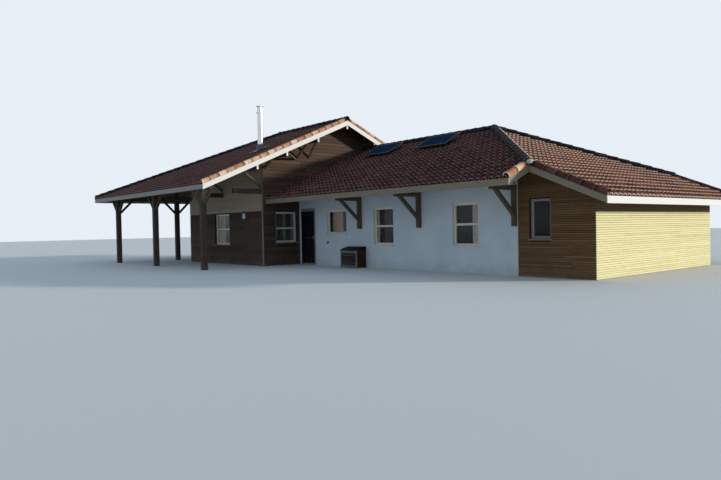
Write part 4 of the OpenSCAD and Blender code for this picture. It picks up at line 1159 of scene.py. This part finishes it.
panels_low, panels_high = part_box("solar_panels")
panel_w, panel_l = 1.5, 0.95
wedge = math.atan(0.1 / panel_l)
bm = bmesh.new()
cell_uv = bm.loops.layers.uv.new("cells")
foot_z = wing_eave + wing_slope * (panels_low.y - front_low.y) + 0.002
for x in (panels_low.x, panels_high.x - panel_w):
    seat = Matrix.Translation((x, panels_low.y, foot_z)) @ Matrix.Rotation(math.atan(wing_slope), 4, "X")
    tilt = seat @ Matrix.Translation((0, 0, 0.05)) @ Matrix.Rotation(wedge, 4, "X")
    rim = 0.03
    glass = bmesh.ops.create_cube(bm, size=1.0)["verts"]
    for vert in glass:
        u, v, w = (0.5 + vert.co.x, 0.5 + vert.co.y, 0.5 + vert.co.z)
        for loop in vert.link_loops:
            loop[cell_uv].uv = (u * 9, v * 6)
        vert.co = tilt @ Vector((rim + u * (panel_w - 2 * rim), rim + v * (panel_l - 2 * rim), 0.006 + w * 0.034))
    for low, high in (((0, 0, 0), (panel_w, rim, 0.045)), ((0, panel_l - rim, 0), (panel_w, panel_l, 0.045)),
                      ((0, rim, 0), (rim, panel_l - rim, 0.045)),
                      ((panel_w - rim, rim, 0), (panel_w, panel_l - rim, 0.045))):
        bevelled_box(bm, low, high, 0.003, material=1, place=tilt)
    for share in (0.2, 0.8):
        rail = panel_w * share
        for low, high in (((rail - 0.02, 0.06, 0.0), (rail + 0.02, panel_l - 0.06, 0.012)),
                          ((rail - 0.012, 0.06, 0.012), (rail + 0.012, 0.10, 0.056)),
                          ((rail - 0.012, panel_l - 0.12, 0.012), (rail + 0.012, panel_l - 0.08, 0.138))):
            bevelled_box(bm, low, high, 0.002, material=1, place=seat)
piece = finish_piece("solar_collectors", bm, [cells, dark_frame])
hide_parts("solar_panels")


# Plaque: a round plate on the porch wall, with a dark rolled rim and a flat pale middle. It
# stands a little prouder than its CAD node, clear of the boards behind it.
plaque_low, plaque_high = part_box("wall_plaque")
plaque_pale = mottled("plaque_enamel", 0.45, 14.0, 5.0, (0.52, 0.50, 0.47), (0.80, 0.79, 0.77))
plaque_dark = mottled("plaque_rim", 0.4, 40.0, 4.0, (0.014, 0.015, 0.020), (0.09, 0.09, 0.10), metallic=0.6,
                      span=(0.5, 0.7))
radius = (plaque_high.x - plaque_low.x) / 2 - 0.001
depth = plaque_high.y - plaque_low.y + 0.008
bm = bmesh.new()
turned(bm, [(0.0, 0.0), (radius - 0.004, 0.0), (radius, 0.005), (radius, depth - 0.005), (radius - 0.005, depth),
            (radius - 0.026, depth), (radius - 0.030, depth - 0.003), (0.57 * radius, depth - 0.003),
            (0.55 * radius, depth - 0.001), (0.0, depth - 0.0005)], Vector((0, 0, 0)), 40)
for face in bm.faces:
    rim = math.hypot(centre(face).x, centre(face).y) > 0.56 * radius
    face.material_index = 1 if rim or centre(face).z < 0.002 else 0
middle = (plaque_low + plaque_high) / 2
upright_place = Matrix.Translation((middle.x, plaque_high.y, middle.z)) @ Matrix.Rotation(math.pi / 2, 4, "X")
bmesh.ops.transform(bm, matrix=upright_place, verts=bm.verts)
piece = finish_piece("round_plaque", bm, [plaque_pale, plaque_dark], smooth=35)
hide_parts("wall_plaque")


# Locker: a low dark timber box against the white wall, with corner posts, a boarded side, a
# slatted recessed front and a bent lid.
locker_low, locker_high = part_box("timber_locker")
locker_stain = wood_material("locker_boards", 2, (0.010, 0.008, 0.006), (0.026, 0.020, 0.015), (0.050, 0.036, 0.026),
                             0.65, 1.2)
locker_red = wood_material("locker_side_boards", 2, (0.014, 0.006, 0.003), (0.038, 0.015, 0.007),
                           (0.065, 0.028, 0.014), 0.6, 1.2, splash=0.03)
locker_post = wood_material("locker_posts", 2, (0.13, 0.11, 0.09), (0.22, 0.19, 0.155), (0.32, 0.28, 0.24), 0.7, 1.0)
lid_stain = wood_material("locker_lid", 0, (0.004, 0.003, 0.003), (0.009, 0.007, 0.006), (0.020, 0.014, 0.012),
                          0.7, 0.8, splash=0.0)
x0, x1 = locker_low.x + 0.012, locker_high.x - 0.012
y0, y1 = locker_low.y + 0.014, locker_high.y
bm = bmesh.new()
bm.faces.layers.float.new("tone")
post = 0.05
for x, y in ((x0, y0), (x1 - post, y0), (x0, y1 - post), (x1 - post, y1 - post)):
    ahead_post = y == y0
    bevelled_box(bm, (x, y, 0.001), (x + post, y + post, 0.635 if ahead_post else 0.70), 0.004,
                 noise.uniform(0.4, 0.6), 2 if ahead_post else 0)
boards = 4
step = (y1 - y0 - 2 * post) / boards
for x in (x0 + 0.006, x1 - 0.028):
    for i in range(boards):
        y = y0 + post + i * step
        bevelled_box(bm, (x, y + 0.001, 0.03), (x + 0.022, y + step - 0.001, 0.64 + 0.17 * (i * step + post)), 0.003,
                     noise.uniform(0.3, 0.7), 1)
for z, top in ((0.030, 0.085), (0.53, 0.625)):
    bevelled_box(bm, (x0 + post + 0.001, y0 + 0.004, z), (x1 - post - 0.001, y0 + 0.026, top), 0.003, 0.35, 2)
slats = 5
rise = 0.44 / slats
for i in range(slats):
    z = 0.09 + i * rise
    bevelled_box(bm, (x0 + post + 0.001, y0 + 0.012, z + 0.002), (x1 - post - 0.001, y0 + 0.030, z + rise - 0.004),
                 0.003, noise.uniform(0.3, 0.6), 0)
bevelled_box(bm, (x0 + 0.16, y0 + 0.001, 0.440), (x1 - 0.16, y0 + 0.013, 0.458), 0.003, 0.2, 2)
for z, top in ((0.03, 0.09), (0.58, 0.66)):
    bevelled_box(bm, (x0 + post + 0.001, y1 - 0.024, z), (x1 - post - 0.001, y1 - 0.002, top), 0.003, 0.5, 0)
piece = finish_piece("locker_joinery", bm, [locker_stain, locker_red, locker_post])
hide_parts("timber_locker")


def slab(bm, profile, width):
    """A plate from its outline in a wall's cross-section, given as points, drawn out along the wall."""
    face = bm.faces.new([bm.verts.new(point) for point in profile])
    made = bmesh.ops.extrude_face_region(bm, geom=[face])["geom"]
    bmesh.ops.translate(bm, vec=X * width, verts=[v for v in made if isinstance(v, bmesh.types.BMVert)])


bm = bmesh.new()
tone = bm.faces.layers.float.new("tone")
steps = 14
outer = [(locker_low.y + 0.001 + (y1 - locker_low.y - 0.003) * i / steps,
          0.652 + 0.107 * math.sin(math.pi / 2 * i / steps)) for i in range(steps + 1)]
inner_line = [(y, z - 0.020) for y, z in outer]
slab(bm, [(locker_low.x + 0.001, y, z) for y, z in outer + inner_line[::-1]], locker_high.x - locker_low.x - 0.002)
bmesh.ops.recalc_face_normals(bm, faces=bm.faces)
for face in bm.faces:
    face[tone] = 0.5
sharp = [e for e in bm.edges if e.calc_face_angle() > 0.6]
bmesh.ops.bevel(bm, geom=sharp, offset=0.004, offset_type="OFFSET", segments=2, profile=0.5, affect="EDGES",
                material=-1)
for x in (x0 + 0.16, x1 - 0.16):
    tube(bm, Vector((x - 0.035, y1 - 0.010, 0.748)), Vector((x + 0.035, y1 - 0.010, 0.748)), 0.006, 10)
# Cheeks under the bent lid, as deep as it rises
cheek = [(outer[1][0], 0.640)] + [(y, z - 0.001) for y, z in inner_line[1:]] + [(outer[-1][0], 0.700)]
for x in (locker_low.x + 0.001, locker_high.x - 0.021):
    slab(bm, [(x, y, z) for y, z in cheek], 0.020)
bmesh.ops.recalc_face_normals(bm, faces=bm.faces)
piece = finish_piece("locker_lid", bm, lid_stain, smooth=35)


# Small fittings: a tap on the white wall, bolt heads in the brackets and braces, and the white
# end bead of the render beside the timber cladding.
iron = mottled("galvanised_iron", 0.5, 60.0, 4.0, (0.06, 0.06, 0.065), (0.17, 0.17, 0.18), metallic=0.8,
               span=(0.4, 0.6))
bm = bmesh.new()
tap = Vector((corner.x - 11.06, corner.y, 0.90))
for start, finish, radius, sides in (
        ((0, -0.0005, 0), (0, -0.008, 0), 0.032, 16), ((0, -0.006, 0), (0, -0.085, 0), 0.013, 12),
        ((0, -0.075, 0.012), (0, -0.075, -0.055), 0.014, 12), ((0, -0.075, -0.052), (0, -0.075, -0.066), 0.018, 12),
        ((0, -0.045, 0.008), (0, -0.045, 0.050), 0.007, 10),
        ((-0.035, -0.045, 0.048), (0.035, -0.045, 0.048), 0.007, 10)):
    tube(bm, tap + Vector(start), tap + Vector(finish), radius, sides)
piece = finish_piece("wall_tap", bm, iron, smooth=40)


def bolt(bm, point, outward):
    tube(bm, point, point + outward * 0.003, 0.019, 14)
    tube(bm, point + outward * 0.003, point + outward * 0.013, 0.012, 6)


bm = bmesh.new()
for x in (-9.11, -6.13, -2.40):
    for y, outward in ((corner.y - 0.13, -Y), (wing_back_y + 0.13, Y)):
        for z in (1.47, 1.57, 2.46):
            bolt(bm, Vector((corner.x + x, y, z)), outward)
posts_low, posts_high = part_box("porch_posts")
braces_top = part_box("porch_braces")[1].z
post_line = posts_low.y + 0.10
for x in (posts_high.x - 0.10, posts_high.x - 4.49, posts_low.x + 0.10):
    for turn in (-1, 1):
        for reach, z in ((0.14, braces_top - 0.52), (0.56, braces_top - 0.10)):
            bolt(bm, Vector((x + turn * reach, post_line - 0.045, z)), -Y)
piece = finish_piece("bolt_heads", bm, iron)

bm = bmesh.new()
for y0, y1 in ((corner.y - 0.034, corner.y - 0.0005), (wing_back_y + 0.0005, wing_back_y + 0.034)):
    bevelled_box(bm, (corner.x - timber_run - 0.0145, y0, 0.004), (corner.x - timber_run - 0.001, y1, 3.4), 0.002)
trimmed(bm, wing_under)
piece = finish_piece("render_end_beads", bm, white_paint)
